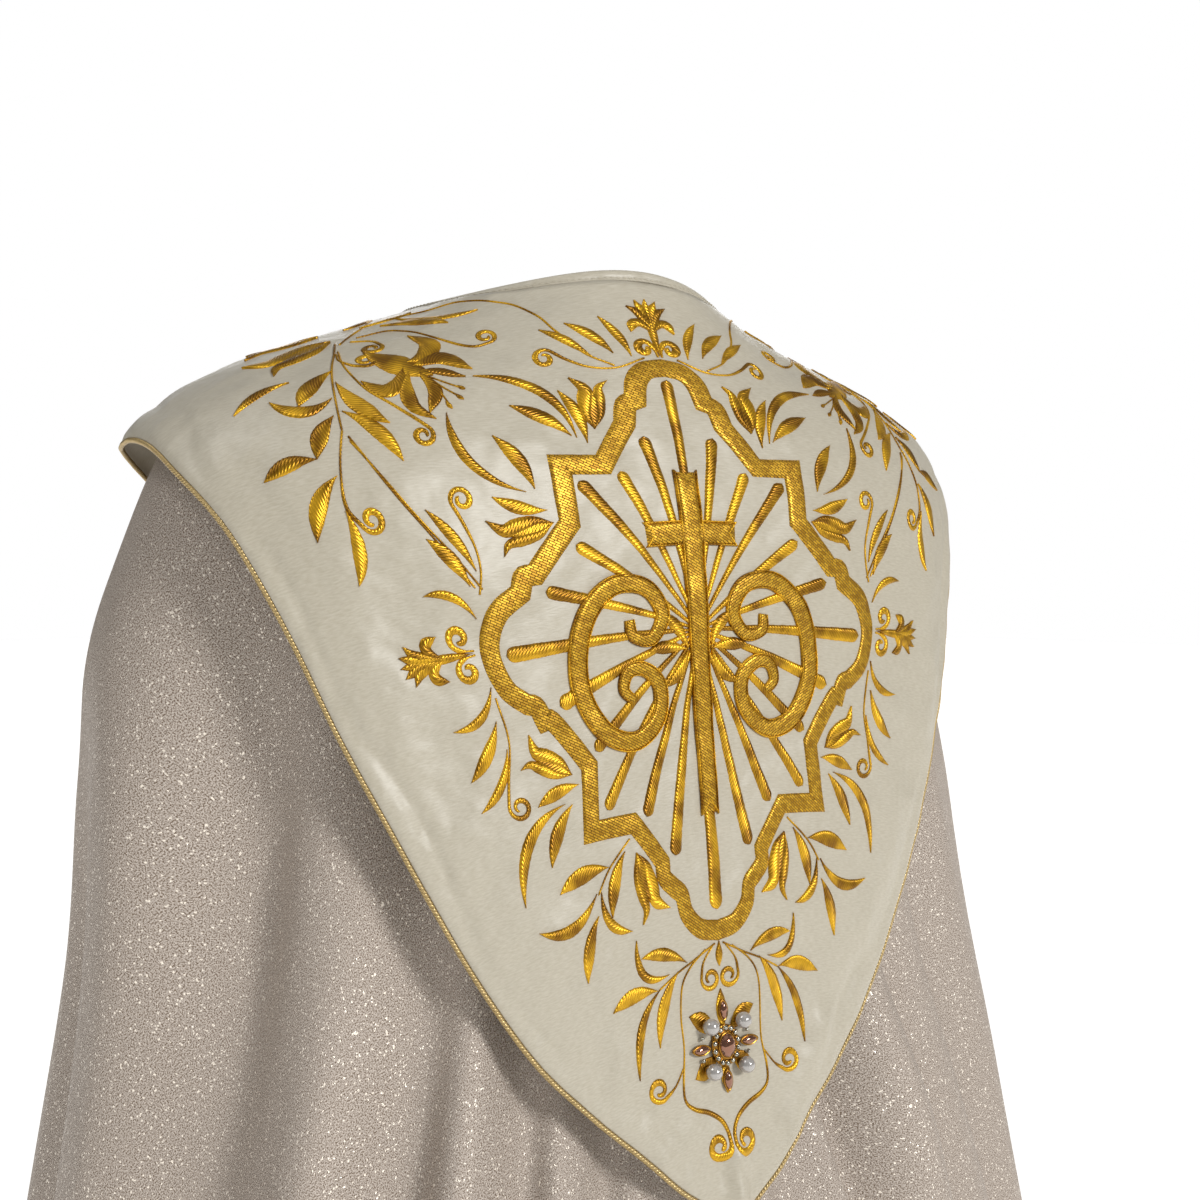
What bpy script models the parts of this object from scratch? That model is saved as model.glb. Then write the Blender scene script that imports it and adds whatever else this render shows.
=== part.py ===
"""Cope vestment, hollow as it hangs when worn, with its hood and a brooch.

Metres, +Z up.  The origin is the middle of the neck opening, level with the
neckline at the centre back, where the wearer's neck holds the garment.  The
front faces -Y, the back +Y, and the wearer's left is +X.

Every cloth piece follows one form.  A point of the form has a bearing, which is
the angle from the centre back round to the wearer's left, and a place between
the rings of RINGS, or else a reach, which is the length of cloth from the
neckline down to it.
"""

import math
from collections import namedtuple

import bmesh
import bpy
import numpy as np
from mathutils import Matrix, Vector

MM = 0.001

# Cloth and seams
MANTLE_WALL = 1.5 * MM
HOOD_WALL = 1.5 * MM
SEAM_GAP = 0.3 * MM
HOOD_LIFT = 3.5 * MM  # how far the hood stands off the mantle below the neck
HOOD_LIFT_REACH = 80 * MM  # reach at which it stands off fully
FRONT_EDGE_BEARING = math.radians(175.5)

# Neck band: it closes the top edges of the mantle and the hood
BAND_REACH = 7 * MM
BAND_WALL = 4.5 * MM
BAND_LIFT = 2.4 * MM  # its outer face, above the mantle's

# Cord along the hood's outer edge
CORD_RADIUS = 1.8 * MM
CORD_GAP = 0.6 * MM
CORD_PROBE = 5 * MM  # how far in from the edge its outward direction is taken

# Fastening tab across the front opening
TAB_BEARING = math.radians(22)
TAB_TOP_REACH = 45 * MM
TAB_HEIGHT = 50 * MM
TAB_WALL = 2 * MM

# Brooch near the hood's point
BROOCH_REACH = 390 * MM
BROOCH_CLEARANCE = 0.6 * MM
PLATE_SIZE = (16.0 * MM, 20.0 * MM, 1.2 * MM)
PLATE_TAPER = 0.94  # its top, as a share of its base
STONE_SIZE = (9.0 * MM, 12.0 * MM, 4.5 * MM)
STONE_TAPER = 0.6
RING_SIZE = (14.0 * MM, 17.0 * MM, 1.8 * MM)
PEARL_RADIUS = 4.0 * MM
PEARL_PLACE = (9.6 * MM, 10.6 * MM)
NAVETTE_SIZE = (4.6 * MM, 9.6 * MM, 3.0 * MM)
NAVETTE_PLACE = {
    "upper": (0, 16.6 * MM),
    "right": (14.0 * MM, 0),
    "lower": (0, -16.6 * MM),
    "left": (-14.0 * MM, 0),
}

# Mesh density
HOOD_GRID = (56, 11)
HOOD_CROWD = 0.3  # how much closer the columns stand at the back
MANTLE_GRID = (68, 18)
BAND_GRID = (40, 1)
TAB_GRID = (8, 3)
PLATE_SIDES = 24
STONE_SIDES = 12
RING_GRID = (20, 6)
PEARL_GRID = (12, 8)
NAVETTE_GRID = (8, 6)
RAY_STEPS = 360
SLOPE_TURN = 0.01  # steps, in radians and metres, that the form's slope is taken over
SLOPE_STRETCH = 2 * MM

# Level rings of the form: how far the back, sides and front lie below the
# neckline, half the width, the reach behind and in front, and how square it is.
Ring = namedtuple("Ring", "name back_drop side_drop front_drop half_width back_depth front_depth square")
RINGS = (
    Ring("neck", 0.000, 0.017, 0.045, 0.085, 0.073, 0.080, 2.0),
    Ring("yoke", 0.050, 0.038, 0.085, 0.138, 0.096, 0.105, 2.0),
    Ring("shoulder", 0.110, 0.062, 0.130, 0.198, 0.117, 0.125, 2.2),
    Ring("point", 0.165, 0.095, 0.180, 0.236, 0.127, 0.140, 2.4),
    Ring("arm", 0.230, 0.160, 0.240, 0.252, 0.134, 0.150, 2.5),
    Ring("blade", 0.310, 0.260, 0.320, 0.260, 0.146, 0.158, 2.5),
    Ring("elbow", 0.420, 0.400, 0.420, 0.275, 0.160, 0.170, 2.4),
    Ring("hip", 0.700, 0.690, 0.700, 0.335, 0.222, 0.220, 2.3),
    Ring("knee", 1.060, 1.055, 1.060, 0.425, 0.312, 0.300, 2.2),
    Ring("hem", 1.430, 1.425, 1.420, 0.520, 0.405, 0.385, 2.1),
)

# The hood's outer edge: its reach at each bearing, in degrees either way.
Edge = namedtuple("Edge", "bearing reach")
HOOD_EDGE = (
    Edge(0, 0.469),
    Edge(8, 0.457),
    Edge(17, 0.433),
    Edge(26, 0.409),
    Edge(34, 0.384),
    Edge(41, 0.352),
    Edge(47, 0.318),
    Edge(52, 0.289),
    Edge(57, 0.260),
    Edge(62, 0.228),
    Edge(68, 0.198),
    Edge(78, 0.176),
    Edge(100, 0.167),
    Edge(140, 0.164),
    Edge(180, 0.158),
)

# Hanging folds of the mantle: troughs that run in from its outer form.
Fold = namedtuple("Fold", "bearing width top depth")
FOLDS = (
    Fold(4, 15, 0.46, 0.062),
    Fold(33, 13, 0.26, 0.072),
    Fold(63, 11, 0.16, 0.066),
    Fold(86, 10, 0.30, 0.058),
    Fold(111, 12, 0.26, 0.070),
    Fold(136, 11, 0.36, 0.052),
    Fold(160, 12, 0.30, 0.060),
    Fold(-28, 14, 0.32, 0.070),
    Fold(-58, 12, 0.24, 0.060),
    Fold(-81, 10, 0.34, 0.066),
    Fold(-106, 12, 0.24, 0.056),
    Fold(-132, 12, 0.30, 0.068),
    Fold(-157, 11, 0.36, 0.054),
)


def clear_scene():
    for obj in list(bpy.data.objects):
        bpy.data.objects.remove(obj, do_unlink=True)


def material(name, colour, roughness, metallic=0.0, coat=0.0):
    finish = bpy.data.materials.new(name)
    finish.use_nodes = True
    shader = finish.node_tree.nodes["Principled BSDF"]
    shader.inputs["Base Color"].default_value = (*colour, 1.0)
    shader.inputs["Roughness"].default_value = roughness
    shader.inputs["Metallic"].default_value = metallic
    shader.inputs["Coat Weight"].default_value = coat
    return finish


def smooth_table(at, knots, values):
    """A smooth curve through the values at the knots, read at each place."""
    knots = np.asarray(knots, float)
    values = np.asarray(values, float)
    slopes = np.gradient(values, knots)
    at = np.clip(at, knots[0], knots[-1])
    low = np.clip(np.searchsorted(knots, at, side="right") - 1, 0, len(knots) - 2)
    span = knots[low + 1] - knots[low]
    part = (at - knots[low]) / span
    rise = part * part * (3 - 2 * part)
    leave = part * (1 - part) ** 2 * span
    arrive = part * part * (part - 1) * span
    return (
        values[low] * (1 - rise)
        + values[low + 1] * rise
        + slopes[low] * leave
        + slopes[low + 1] * arrive
    )


def smooth_step(part):
    part = np.clip(part, 0, 1)
    return part * part * (3 - 2 * part)


def form_point(bearing, place):
    """Points of the form, at a bearing and a place counted in rings."""
    knots = np.arange(len(RINGS))
    ring = {
        field: smooth_table(place, knots, [getattr(row, field) for row in RINGS])
        for field in Ring._fields[1:]
    }
    side, back = np.sin(bearing), np.cos(bearing)
    depth = np.where(back >= 0, ring["back_depth"], ring["front_depth"])
    drop = np.where(back >= 0, ring["back_drop"], ring["front_drop"])
    squared = np.abs(side / ring["half_width"]) ** ring["square"]
    squared = squared + np.abs(back / depth) ** ring["square"]
    radius = squared ** (-1 / ring["square"])
    sideways = side * side
    height = -(drop * (1 - sideways) + ring["side_drop"] * sideways)
    return np.stack([radius * side, radius * back, height], axis=-1)


def form_at_reach(bearing, reach):
    """Points of the form at a reach down from the neckline. Both are arrays of one shape."""
    bearing, reach = np.broadcast_arrays(bearing, reach)
    steps = np.linspace(0, len(RINGS) - 1, RAY_STEPS)
    rays = form_point(bearing.reshape(-1, 1), steps)
    lengths = np.linalg.norm(np.diff(rays, axis=1), axis=2).cumsum(axis=1)
    lengths = np.pad(lengths, ((0, 0), (1, 0)))
    places = [
        np.interp(wanted, length, steps) for wanted, length in zip(reach.ravel(), lengths)
    ]
    return form_point(bearing, np.reshape(places, bearing.shape))


def outward(bearing, reach):
    """Unit normals of the form, pointing away from the wearer."""
    turn, stretch = SLOPE_TURN, SLOPE_STRETCH
    reach = np.maximum(reach, stretch)
    round_it = form_at_reach(bearing + turn, reach) - form_at_reach(bearing - turn, reach)
    down_it = form_at_reach(bearing, reach + stretch) - form_at_reach(bearing, reach - stretch)
    normal = np.cross(round_it, down_it)
    return normal / np.linalg.norm(normal, axis=-1, keepdims=True)


def lifted(bearing, reach, lift):
    """Points that stand off the form by the lift."""
    lift = np.broadcast_to(lift, np.broadcast(bearing, reach).shape)
    return form_at_reach(bearing, reach) + outward(bearing, reach) * lift[..., None]


def hood_lift(reach):
    """Height of the hood's inner face above the mantle."""
    return SEAM_GAP + (HOOD_LIFT - SEAM_GAP) * smooth_step(reach / HOOD_LIFT_REACH)


def hood_edge_reach(bearing):
    rows = HOOD_EDGE
    knots = [-row.bearing for row in rows[:0:-1]] + [row.bearing for row in rows]
    values = [row.reach for row in rows[:0:-1]] + [row.reach for row in rows]
    return smooth_table(np.degrees(bearing), knots, values)


def bearings(count, crowd=0.0, limit=FRONT_EDGE_BEARING):
    """Bearings from the right front edge to the left one, closer together at the back."""
    across = np.linspace(-1, 1, count + 1)
    return limit * ((1 - crowd) * across + crowd * across**3)


def grid_object(name, points, finish, collection):
    """A sheet over a grid of points, whose faces point outwards."""
    across, down = points.shape[:2]
    mesh = bmesh.new()
    corners = [mesh.verts.new(point) for point in points.reshape(-1, 3)]
    for i in range(across - 1):
        for j in range(down - 1):
            first = i * down + j
            ring = (first, first + down, first + down + 1, first + 1)
            mesh.faces.new([corners[k] for k in ring])
    return finished_object(name, mesh, finish, collection)


def finished_object(name, mesh, finish, collection, place=None):
    data = bpy.data.meshes.new(name)
    mesh.to_mesh(data)
    mesh.free()
    data.shade_smooth()
    data.materials.append(finish)
    obj = bpy.data.objects.new(name, data)
    if place is not None:
        obj.matrix_world = place
    collection.objects.link(obj)
    return obj


def thicken(obj, wall, outwards):
    solidify = obj.modifiers.new("Wall", "SOLIDIFY")
    solidify.thickness = wall
    solidify.offset = 1 if outwards else -1
    solidify.use_even_offset = True


def fold_depth(bearing, drop, hem_drop):
    """How far the hanging folds draw the mantle in at each point."""
    depth = np.zeros(np.broadcast(bearing, drop).shape)
    for fold in FOLDS:
        across = (np.degrees(bearing) - fold.bearing) / fold.width
        trough = np.where(np.abs(across) < 1, np.cos(across * math.pi / 2) ** 2, 0)
        growth = smooth_step((drop - fold.top) / (hem_drop - fold.top))
        depth = depth + fold.depth * trough * growth
    return depth


def build_mantle(finish, collection):
    """The mantle: the form itself from the band to the hem, with its folds."""
    columns = bearings(MANTLE_GRID[0])[:, None]
    steps = np.linspace(0, len(RINGS) - 1, RAY_STEPS)
    top_reach = BAND_REACH + SEAM_GAP
    first_place = []
    for bearing in columns[:, 0]:
        ray = form_point(bearing, steps)
        length = np.pad(np.linalg.norm(np.diff(ray, axis=0), axis=1).cumsum(), (1, 0))
        first_place.append(np.interp(top_reach, length, steps))
    first_place = np.array(first_place)[:, None]
    down = np.linspace(0, 1, MANTLE_GRID[1] + 1)
    place = first_place + (len(RINGS) - 1 - first_place) * down
    points = form_point(columns, place)
    inwards = -points * (1, 1, 0)
    inwards /= np.linalg.norm(inwards, axis=-1, keepdims=True)
    depth = fold_depth(columns, -points[..., 2], -points[..., -1:, 2])
    obj = grid_object("mantle", points + inwards * depth[..., None], finish, collection)
    thicken(obj, MANTLE_WALL, outwards=False)


def build_hood(finish, collection):
    columns = bearings(HOOD_GRID[0], crowd=HOOD_CROWD)[:, None]
    top = BAND_REACH + SEAM_GAP
    down = np.linspace(0, 1, HOOD_GRID[1] + 1)
    reach = top + (hood_edge_reach(columns) - top) * down
    obj = grid_object("hood", lifted(columns, reach, hood_lift(reach)), finish, collection)
    thicken(obj, HOOD_WALL, outwards=True)


def build_neck_band(finish, collection):
    columns = bearings(BAND_GRID[0])[:, None]
    reach = np.linspace(0, BAND_REACH, BAND_GRID[1] + 1)
    obj = grid_object("neck_band", lifted(columns, reach, BAND_LIFT), finish, collection)
    thicken(obj, BAND_WALL, outwards=False)


def build_edge_cord(finish, collection):
    """A cord just past the hood's outer edge, at the middle of its wall."""
    columns = bearings(HOOD_GRID[0], crowd=HOOD_CROWD)
    edge = hood_edge_reach(columns)
    middle = lifted(columns, edge, hood_lift(edge) + HOOD_WALL / 2)
    above = lifted(columns, edge - CORD_PROBE, hood_lift(edge) + HOOD_WALL / 2)
    along = np.gradient(middle, axis=0)
    along /= np.linalg.norm(along, axis=1, keepdims=True)
    out = middle - above
    out -= along * (out * along).sum(axis=1, keepdims=True)
    out /= np.linalg.norm(out, axis=1, keepdims=True)
    points = middle + out * (CORD_RADIUS + CORD_GAP)
    curve = bpy.data.curves.new("hood_cord", "CURVE")
    curve.dimensions = "3D"
    curve.bevel_depth = CORD_RADIUS
    curve.bevel_resolution = 1
    curve.use_fill_caps = True
    spline = curve.splines.new("POLY")
    spline.points.add(len(points) - 1)
    for control, point in zip(spline.points, points):
        control.co = (*point, 1)
    curve.materials.append(finish)
    collection.objects.link(bpy.data.objects.new("hood_cord", curve))


def build_front_tab(finish, collection):
    """A plain tab over both front edges of the hood, its points moved out from them."""
    columns = math.pi + np.linspace(-TAB_BEARING, TAB_BEARING, TAB_GRID[0] + 1)[:, None]
    reach = TAB_TOP_REACH + np.linspace(0, TAB_HEIGHT, TAB_GRID[1] + 1)
    lift = HOOD_LIFT + HOOD_WALL + SEAM_GAP
    obj = grid_object("front_tab", lifted(columns, reach, lift), finish, collection)
    thicken(obj, TAB_WALL, outwards=True)


def brooch_frame():
    """A frame on the hood's outer face: X to the wearer's right, Y up the cloth, Z outwards."""
    bearing = np.array(0.0)
    reach = np.array(BROOCH_REACH)
    lift = hood_lift(reach) + HOOD_WALL
    origin = Vector(lifted(bearing, reach, lift))
    normal = Vector(outward(bearing, reach))
    right = Vector((-1, 0, 0))
    up = normal.cross(right)
    axes = Matrix((right, up, normal)).transposed()
    return Matrix.Translation(origin) @ axes.to_4x4()


def cone_piece(size, top_share, segments):
    """A low oval block that narrows towards its top. Its base is at Z = 0."""
    mesh = bmesh.new()
    width, height, thickness = size
    bmesh.ops.create_cone(
        mesh,
        cap_ends=True,
        segments=segments,
        radius1=0.5,
        radius2=0.5 * top_share,
        depth=1.0,
        matrix=Matrix.Translation((0, 0, 0.5)),
    )
    bmesh.ops.scale(mesh, verts=mesh.verts, vec=(width, height, thickness))
    return mesh


def ball_piece(size, segments, rings):
    """A ball or a pointed oval, centred on the origin."""
    mesh = bmesh.new()
    bmesh.ops.create_uvsphere(mesh, u_segments=segments, v_segments=rings, radius=0.5)
    bmesh.ops.scale(mesh, verts=mesh.verts, vec=size)
    return mesh


def ring_piece(size, segments, sides):
    """An oval ring of round section, resting on Z = 0."""
    width, height, wire = size
    mesh = bmesh.new()
    rows = []
    for i in range(segments):
        turn = 2 * math.pi * i / segments
        row = []
        for j in range(sides):
            roll = 2 * math.pi * j / sides
            out = wire / 2 * math.cos(roll)
            lift = wire / 2 * (1 + math.sin(roll))
            across = (width / 2 + out) * math.cos(turn)
            along = (height / 2 + out) * math.sin(turn)
            row.append(mesh.verts.new((across, along, lift)))
        rows.append(row)
    for i in range(segments):
        for j in range(sides):
            here, after = rows[i], rows[(i + 1) % segments]
            k = (j + 1) % sides
            mesh.faces.new((here[j], after[j], after[k], here[k]))
    return mesh


def build_brooch(finishes, collection):
    frame = brooch_frame()

    def placed(across, along, lift):
        return frame @ Matrix.Translation((across, along, lift))

    gilt, stone, pearl = finishes
    plate = cone_piece(PLATE_SIZE, PLATE_TAPER, PLATE_SIDES)
    plate_place = placed(0, 0, BROOCH_CLEARANCE)
    finished_object("brooch_plate", plate, gilt, collection, plate_place)
    seat = BROOCH_CLEARANCE + PLATE_SIZE[2] + SEAM_GAP
    centre = cone_piece(STONE_SIZE, STONE_TAPER, STONE_SIDES)
    finished_object("brooch_stone", centre, stone, collection, placed(0, 0, seat))
    ring = ring_piece(RING_SIZE, *RING_GRID)
    finished_object("brooch_ring", ring, gilt, collection, placed(0, 0, seat))
    across, along = PEARL_PLACE
    for name, x, y in (
        ("upper_right", across, along),
        ("upper_left", -across, along),
        ("lower_right", across, -along),
        ("lower_left", -across, -along),
    ):
        ball = ball_piece((2 * PEARL_RADIUS,) * 3, *PEARL_GRID)
        place = placed(x, y, PEARL_RADIUS + BROOCH_CLEARANCE)
        finished_object(f"brooch_pearl_{name}", ball, pearl, collection, place)
    for name, (x, y) in NAVETTE_PLACE.items():
        gem = ball_piece(NAVETTE_SIZE, *NAVETTE_GRID)
        lift = NAVETTE_SIZE[2] / 2 + BROOCH_CLEARANCE
        turn = Matrix.Rotation(math.pi / 2 if x else 0, 4, "Z")
        place = placed(x, y, lift) @ turn
        finished_object(f"brooch_navette_{name}", gem, stone, collection, place)


def main():
    clear_scene()
    collection = bpy.data.collections.new("Cope vestment")
    bpy.context.scene.collection.children.link(collection)
    satin = material("Ivory satin", (0.66, 0.61, 0.52), 0.38)
    crepe = material("Champagne glitter crepe", (0.55, 0.46, 0.40), 0.55, metallic=0.25)
    lurex = material("Gold lurex cord", (0.48, 0.32, 0.13), 0.4, metallic=0.8)
    gilt = material("Gilt metal", (0.75, 0.52, 0.18), 0.25, metallic=1.0)
    stone = material("Champagne crystal", (0.75, 0.45, 0.28), 0.05, coat=1.0)
    pearl = material("Pearl", (0.82, 0.78, 0.72), 0.2, coat=0.6)
    build_mantle(crepe, collection)
    build_hood(satin, collection)
    build_neck_band(satin, collection)
    build_edge_cord(lurex, collection)
    build_front_tab(satin, collection)
    build_brooch((gilt, stone, pearl), collection)


main()
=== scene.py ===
"""Looks of a cope vestment: glitter crepe mantle, embroidered satin hood and brooch.

Metres, +Z up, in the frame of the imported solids: the origin is the middle of the
neck opening, the back faces +Y and the wearer's left is +X.

Everything sewn lies on one draped form.  Embroidery is drawn in flat millimetres
on the hood as it was cut: x to the wearer's left and y down from the neckline at
the centre back.  The hood then lays each flat point on its outer face.
"""

import logging
import math
from dataclasses import dataclass, field
from enum import Enum
from typing import NamedTuple

import bpy
import numpy as np
from bpy.types import Material, Node, NodeSocket, NodeTree, Object
from mathutils import Matrix, Vector

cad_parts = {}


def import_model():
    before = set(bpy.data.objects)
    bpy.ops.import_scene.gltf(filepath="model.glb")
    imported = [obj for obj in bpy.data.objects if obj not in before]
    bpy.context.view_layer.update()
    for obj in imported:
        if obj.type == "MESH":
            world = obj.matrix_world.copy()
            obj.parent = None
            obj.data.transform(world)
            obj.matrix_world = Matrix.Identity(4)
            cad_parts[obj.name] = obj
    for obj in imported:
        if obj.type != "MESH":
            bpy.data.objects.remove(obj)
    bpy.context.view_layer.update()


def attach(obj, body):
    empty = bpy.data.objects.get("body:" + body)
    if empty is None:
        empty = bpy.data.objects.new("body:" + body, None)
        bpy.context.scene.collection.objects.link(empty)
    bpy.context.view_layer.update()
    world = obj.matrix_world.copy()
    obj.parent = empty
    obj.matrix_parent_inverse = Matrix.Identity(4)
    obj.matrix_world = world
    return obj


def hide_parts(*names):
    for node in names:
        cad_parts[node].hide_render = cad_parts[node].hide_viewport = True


LOG = logging.getLogger("cope")
Profile = tuple[tuple[float, float], ...]
MM = 0.001
WAVE = 0.314  # scale of a wave texture whose bands are one unit apart
SHARPEST_MITRE = 0.45  # cosine of half a turn: past it a mitre grows no longer


# ---- Shape tables ----


class Ring(NamedTuple):
    """A level ring of the draped form, in metres, and how square it is."""

    name: str
    back_drop: float
    side_drop: float
    front_drop: float
    half_width: float
    back_depth: float
    front_depth: float
    square: float


RINGS = (
    Ring("neck", 0.000, 0.017, 0.045, 0.085, 0.073, 0.080, 2.0),
    Ring("yoke", 0.050, 0.038, 0.085, 0.138, 0.096, 0.105, 2.0),
    Ring("shoulder", 0.110, 0.062, 0.130, 0.198, 0.117, 0.125, 2.2),
    Ring("point", 0.165, 0.095, 0.180, 0.236, 0.127, 0.140, 2.4),
    Ring("arm", 0.230, 0.160, 0.240, 0.252, 0.134, 0.150, 2.5),
    Ring("blade", 0.310, 0.260, 0.320, 0.260, 0.146, 0.158, 2.5),
    Ring("elbow", 0.420, 0.400, 0.420, 0.275, 0.160, 0.170, 2.4),
    Ring("hip", 0.700, 0.690, 0.700, 0.335, 0.222, 0.220, 2.3),
    Ring("knee", 1.060, 1.055, 1.060, 0.425, 0.312, 0.300, 2.2),
    Ring("hem", 1.430, 1.425, 1.420, 0.520, 0.405, 0.385, 2.1),
)


class Edge(NamedTuple):
    """The hood's outer edge: its reach in metres at a bearing in degrees."""

    bearing: float
    reach: float


HOOD_EDGE = (
    Edge(0, 0.469),
    Edge(8, 0.457),
    Edge(17, 0.433),
    Edge(26, 0.409),
    Edge(34, 0.384),
    Edge(41, 0.352),
    Edge(47, 0.318),
    Edge(52, 0.289),
    Edge(57, 0.260),
    Edge(62, 0.228),
    Edge(68, 0.198),
    Edge(78, 0.176),
    Edge(100, 0.167),
    Edge(140, 0.164),
    Edge(180, 0.158),
)


class Fold(NamedTuple):
    """A hanging fold: bearing and half width in degrees, then in metres the drop it starts at,
    its depth, and how much further down it is that deep. With no such drop it is the hem."""

    bearing: float
    width: float
    top: float
    depth: float
    grown: float = 0.0


MAIN_FOLDS = (
    Fold(4, 15, 0.46, 0.062),
    Fold(33, 13, 0.26, 0.072),
    Fold(63, 11, 0.16, 0.066),
    Fold(86, 10, 0.30, 0.058),
    Fold(111, 12, 0.26, 0.070),
    Fold(136, 11, 0.36, 0.052),
    Fold(160, 12, 0.30, 0.060),
    Fold(-28, 14, 0.32, 0.070),
    Fold(-58, 12, 0.24, 0.060),
    Fold(-81, 10, 0.34, 0.066),
    Fold(-106, 12, 0.24, 0.056),
    Fold(-132, 12, 0.30, 0.068),
    Fold(-157, 11, 0.36, 0.054),
)

# Finer, uneven creases between the main folds. A negative depth is a soft ridge.
SMALL_FOLDS = (
    Fold(18, 5, 0.62, 0.012),
    Fold(24, 6, 0.44, -0.006),
    Fold(47, 6, 0.30, 0.010),
    Fold(54, 5, 0.20, -0.006),
    Fold(74, 5, 0.34, 0.011),
    Fold(99, 5, 0.58, 0.012),
    Fold(123, 4, 0.44, 0.008),
    Fold(149, 5, 0.70, 0.012),
    Fold(-13, 5, 0.70, 0.012),
    Fold(-43, 6, 0.36, 0.009),
    Fold(-69, 5, 0.50, 0.011),
    Fold(-94, 5, 0.62, 0.010),
    Fold(-119, 5, 0.46, 0.011),
    Fold(-146, 5, 0.64, 0.009),
    Fold(-169, 4, 0.50, 0.006),
)

# Soft folds just below the hood, where the cloth leaves the shoulders.
UPPER_FOLDS = (
    Fold(72, 11, 0.12, 0.034, 0.20),
    Fold(58, 6, 0.18, -0.016, 0.30),
    Fold(50, 8, 0.20, 0.016, 0.28),
    Fold(43, 6, 0.24, -0.010, 0.28),
    Fold(36, 6, 0.28, 0.016, 0.24),
    Fold(30, 5, 0.32, -0.010, 0.22),
    Fold(22, 5, 0.36, 0.016, 0.16),
    Fold(94, 7, 0.18, 0.016, 0.24),
    Fold(106, 6, 0.22, -0.006, 0.24),
    Fold(120, 7, 0.20, 0.016, 0.24),
    Fold(148, 8, 0.26, 0.012, 0.24),
    Fold(-15, 5, 0.42, 0.012, 0.12),
    Fold(-24, 4, 0.34, -0.005, 0.14),
    Fold(-31, 6, 0.26, 0.020, 0.18),
    Fold(-40, 5, 0.24, -0.008, 0.20),
    Fold(-49, 6, 0.20, 0.016, 0.22),
    Fold(-62, 6, 0.16, 0.020, 0.22),
    Fold(-84, 7, 0.20, 0.015, 0.24),
    Fold(-96, 6, 0.22, -0.006, 0.24),
    Fold(-110, 7, 0.20, 0.016, 0.24),
    Fold(-140, 8, 0.24, 0.013, 0.24),
)


class Crease(NamedTuple):
    """A soft ridge of the satin, along a line on the flat hood. All in mm."""

    x0: float
    y0: float
    x1: float
    y1: float
    width: float
    height: float


CREASES = (
    Crease(-2, 446, 1, 480, 9, 5.0),
    Crease(-84, 388, -52, 432, 9, 2.6),
    Crease(30, 420, 52, 436, 10, 1.6),
    Crease(-120, 330, -80, 392, 16, 1.2),
    Crease(96, 330, 60, 400, 18, 1.0),
    Crease(168, 150, 178, 250, 15, 1.4),
    Crease(150, 262, 120, 330, 15, 1.0),
    Crease(160, 60, 176, 130, 18, 0.9),
    Crease(60, -30, 118, 60, 22, 0.8),
    Crease(-168, 150, -176, 240, 15, 1.2),
    Crease(-150, 270, -128, 330, 14, 1.3),
    Crease(-60, -30, -120, 60, 22, 0.8),
    Crease(30, 8, 60, 88, 18, 0.5),
    Crease(-28, 4, -60, 90, 18, 0.5),
)


class Leaf(NamedTuple):
    """A pointed leaf in mm. It bows to its own left by a share of its length, most at the lean."""

    x0: float
    y0: float
    x1: float
    y1: float
    width: float
    bow: float = 0.0
    lean: float = 0.5


class Curl(NamedTuple):
    """A tendril in mm: a smooth line, then a spiral of so many turns. A positive radius turns left."""

    line: tuple[tuple[float, float], ...]
    width: float
    radius: float = 0.0
    turns: float = 1.2


class Bud(NamedTuple):
    """A tulip bud in mm, from its base to the middle of its mouth. Its long petal is on the left if 1."""

    x0: float
    y0: float
    x1: float
    y1: float
    side: int


# A bud's middle, long and short petals: each one's line in shares of the bud's length, ahead and to
# the long petal's side, then its width as such a share, and its height in mm.
BUD_PETALS = (
    (((0, 0), (0.4, 0.02), (0.74, 0.02)), 0.28, 0.8),
    (((0, 0), (0.26, 0.12), (0.55, 0.13), (0.8, 0.13), (1.0, 0.36)), 0.24, 1.2),
    (((0, 0), (0.3, -0.1), (0.6, -0.1), (0.84, -0.1), (1.0, -0.24)), 0.18, 1.2),
)


# ---- Small tools ----


def smooth_table(at: np.ndarray, knots: np.ndarray, values: np.ndarray) -> np.ndarray:
    """Reads a smooth curve: cubic pieces whose slopes are the table's own gradients.

    Args:
        at: Places to read.
        knots: Rising places of the table's rows.
        values: The rows' values.

    Returns:
        The value at each place.
    """
    knots = np.asarray(knots, float)
    values = np.asarray(values, float)
    slopes = np.gradient(values, knots)
    at = np.clip(at, knots[0], knots[-1])
    low = np.clip(np.searchsorted(knots, at, side="right") - 1, 0, len(knots) - 2)
    span = knots[low + 1] - knots[low]
    part = (at - knots[low]) / span
    rise = part * part * (3 - 2 * part)
    leave = part * (1 - part) ** 2 * span
    arrive = part * part * (part - 1) * span
    joined = values[low] * (1 - rise) + values[low + 1] * rise
    return joined + slopes[low] * leave + slopes[low + 1] * arrive


def smooth_step(part: np.ndarray) -> np.ndarray:
    """Rises from 0 to 1 as part does, level at both ends."""
    part = np.clip(part, 0, 1)
    return part * part * (3 - 2 * part)


def unit(vectors: np.ndarray) -> np.ndarray:
    """The vectors on the last axis, each one long."""
    return vectors / np.maximum(np.linalg.norm(vectors, axis=-1, keepdims=True), 1e-12)


def lengths_along(path: np.ndarray) -> np.ndarray:
    """The distance from the path's start to each of its points."""
    return np.pad(np.linalg.norm(np.diff(path, axis=0), axis=1).cumsum(), (1, 0))


def evenly(path: np.ndarray, step: float) -> np.ndarray:
    """Reads a path again at even steps.

    Args:
        path: Points along the path.
        step: About how long a step is.

    Returns:
        The new points. Both ends stay.
    """
    length = lengths_along(path)
    count = max(int(round(length[-1] / step)), 4)
    at = np.linspace(0, length[-1], count + 1)
    return np.stack([np.interp(at, length, path[:, k]) for k in range(path.shape[1])], axis=1)


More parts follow.
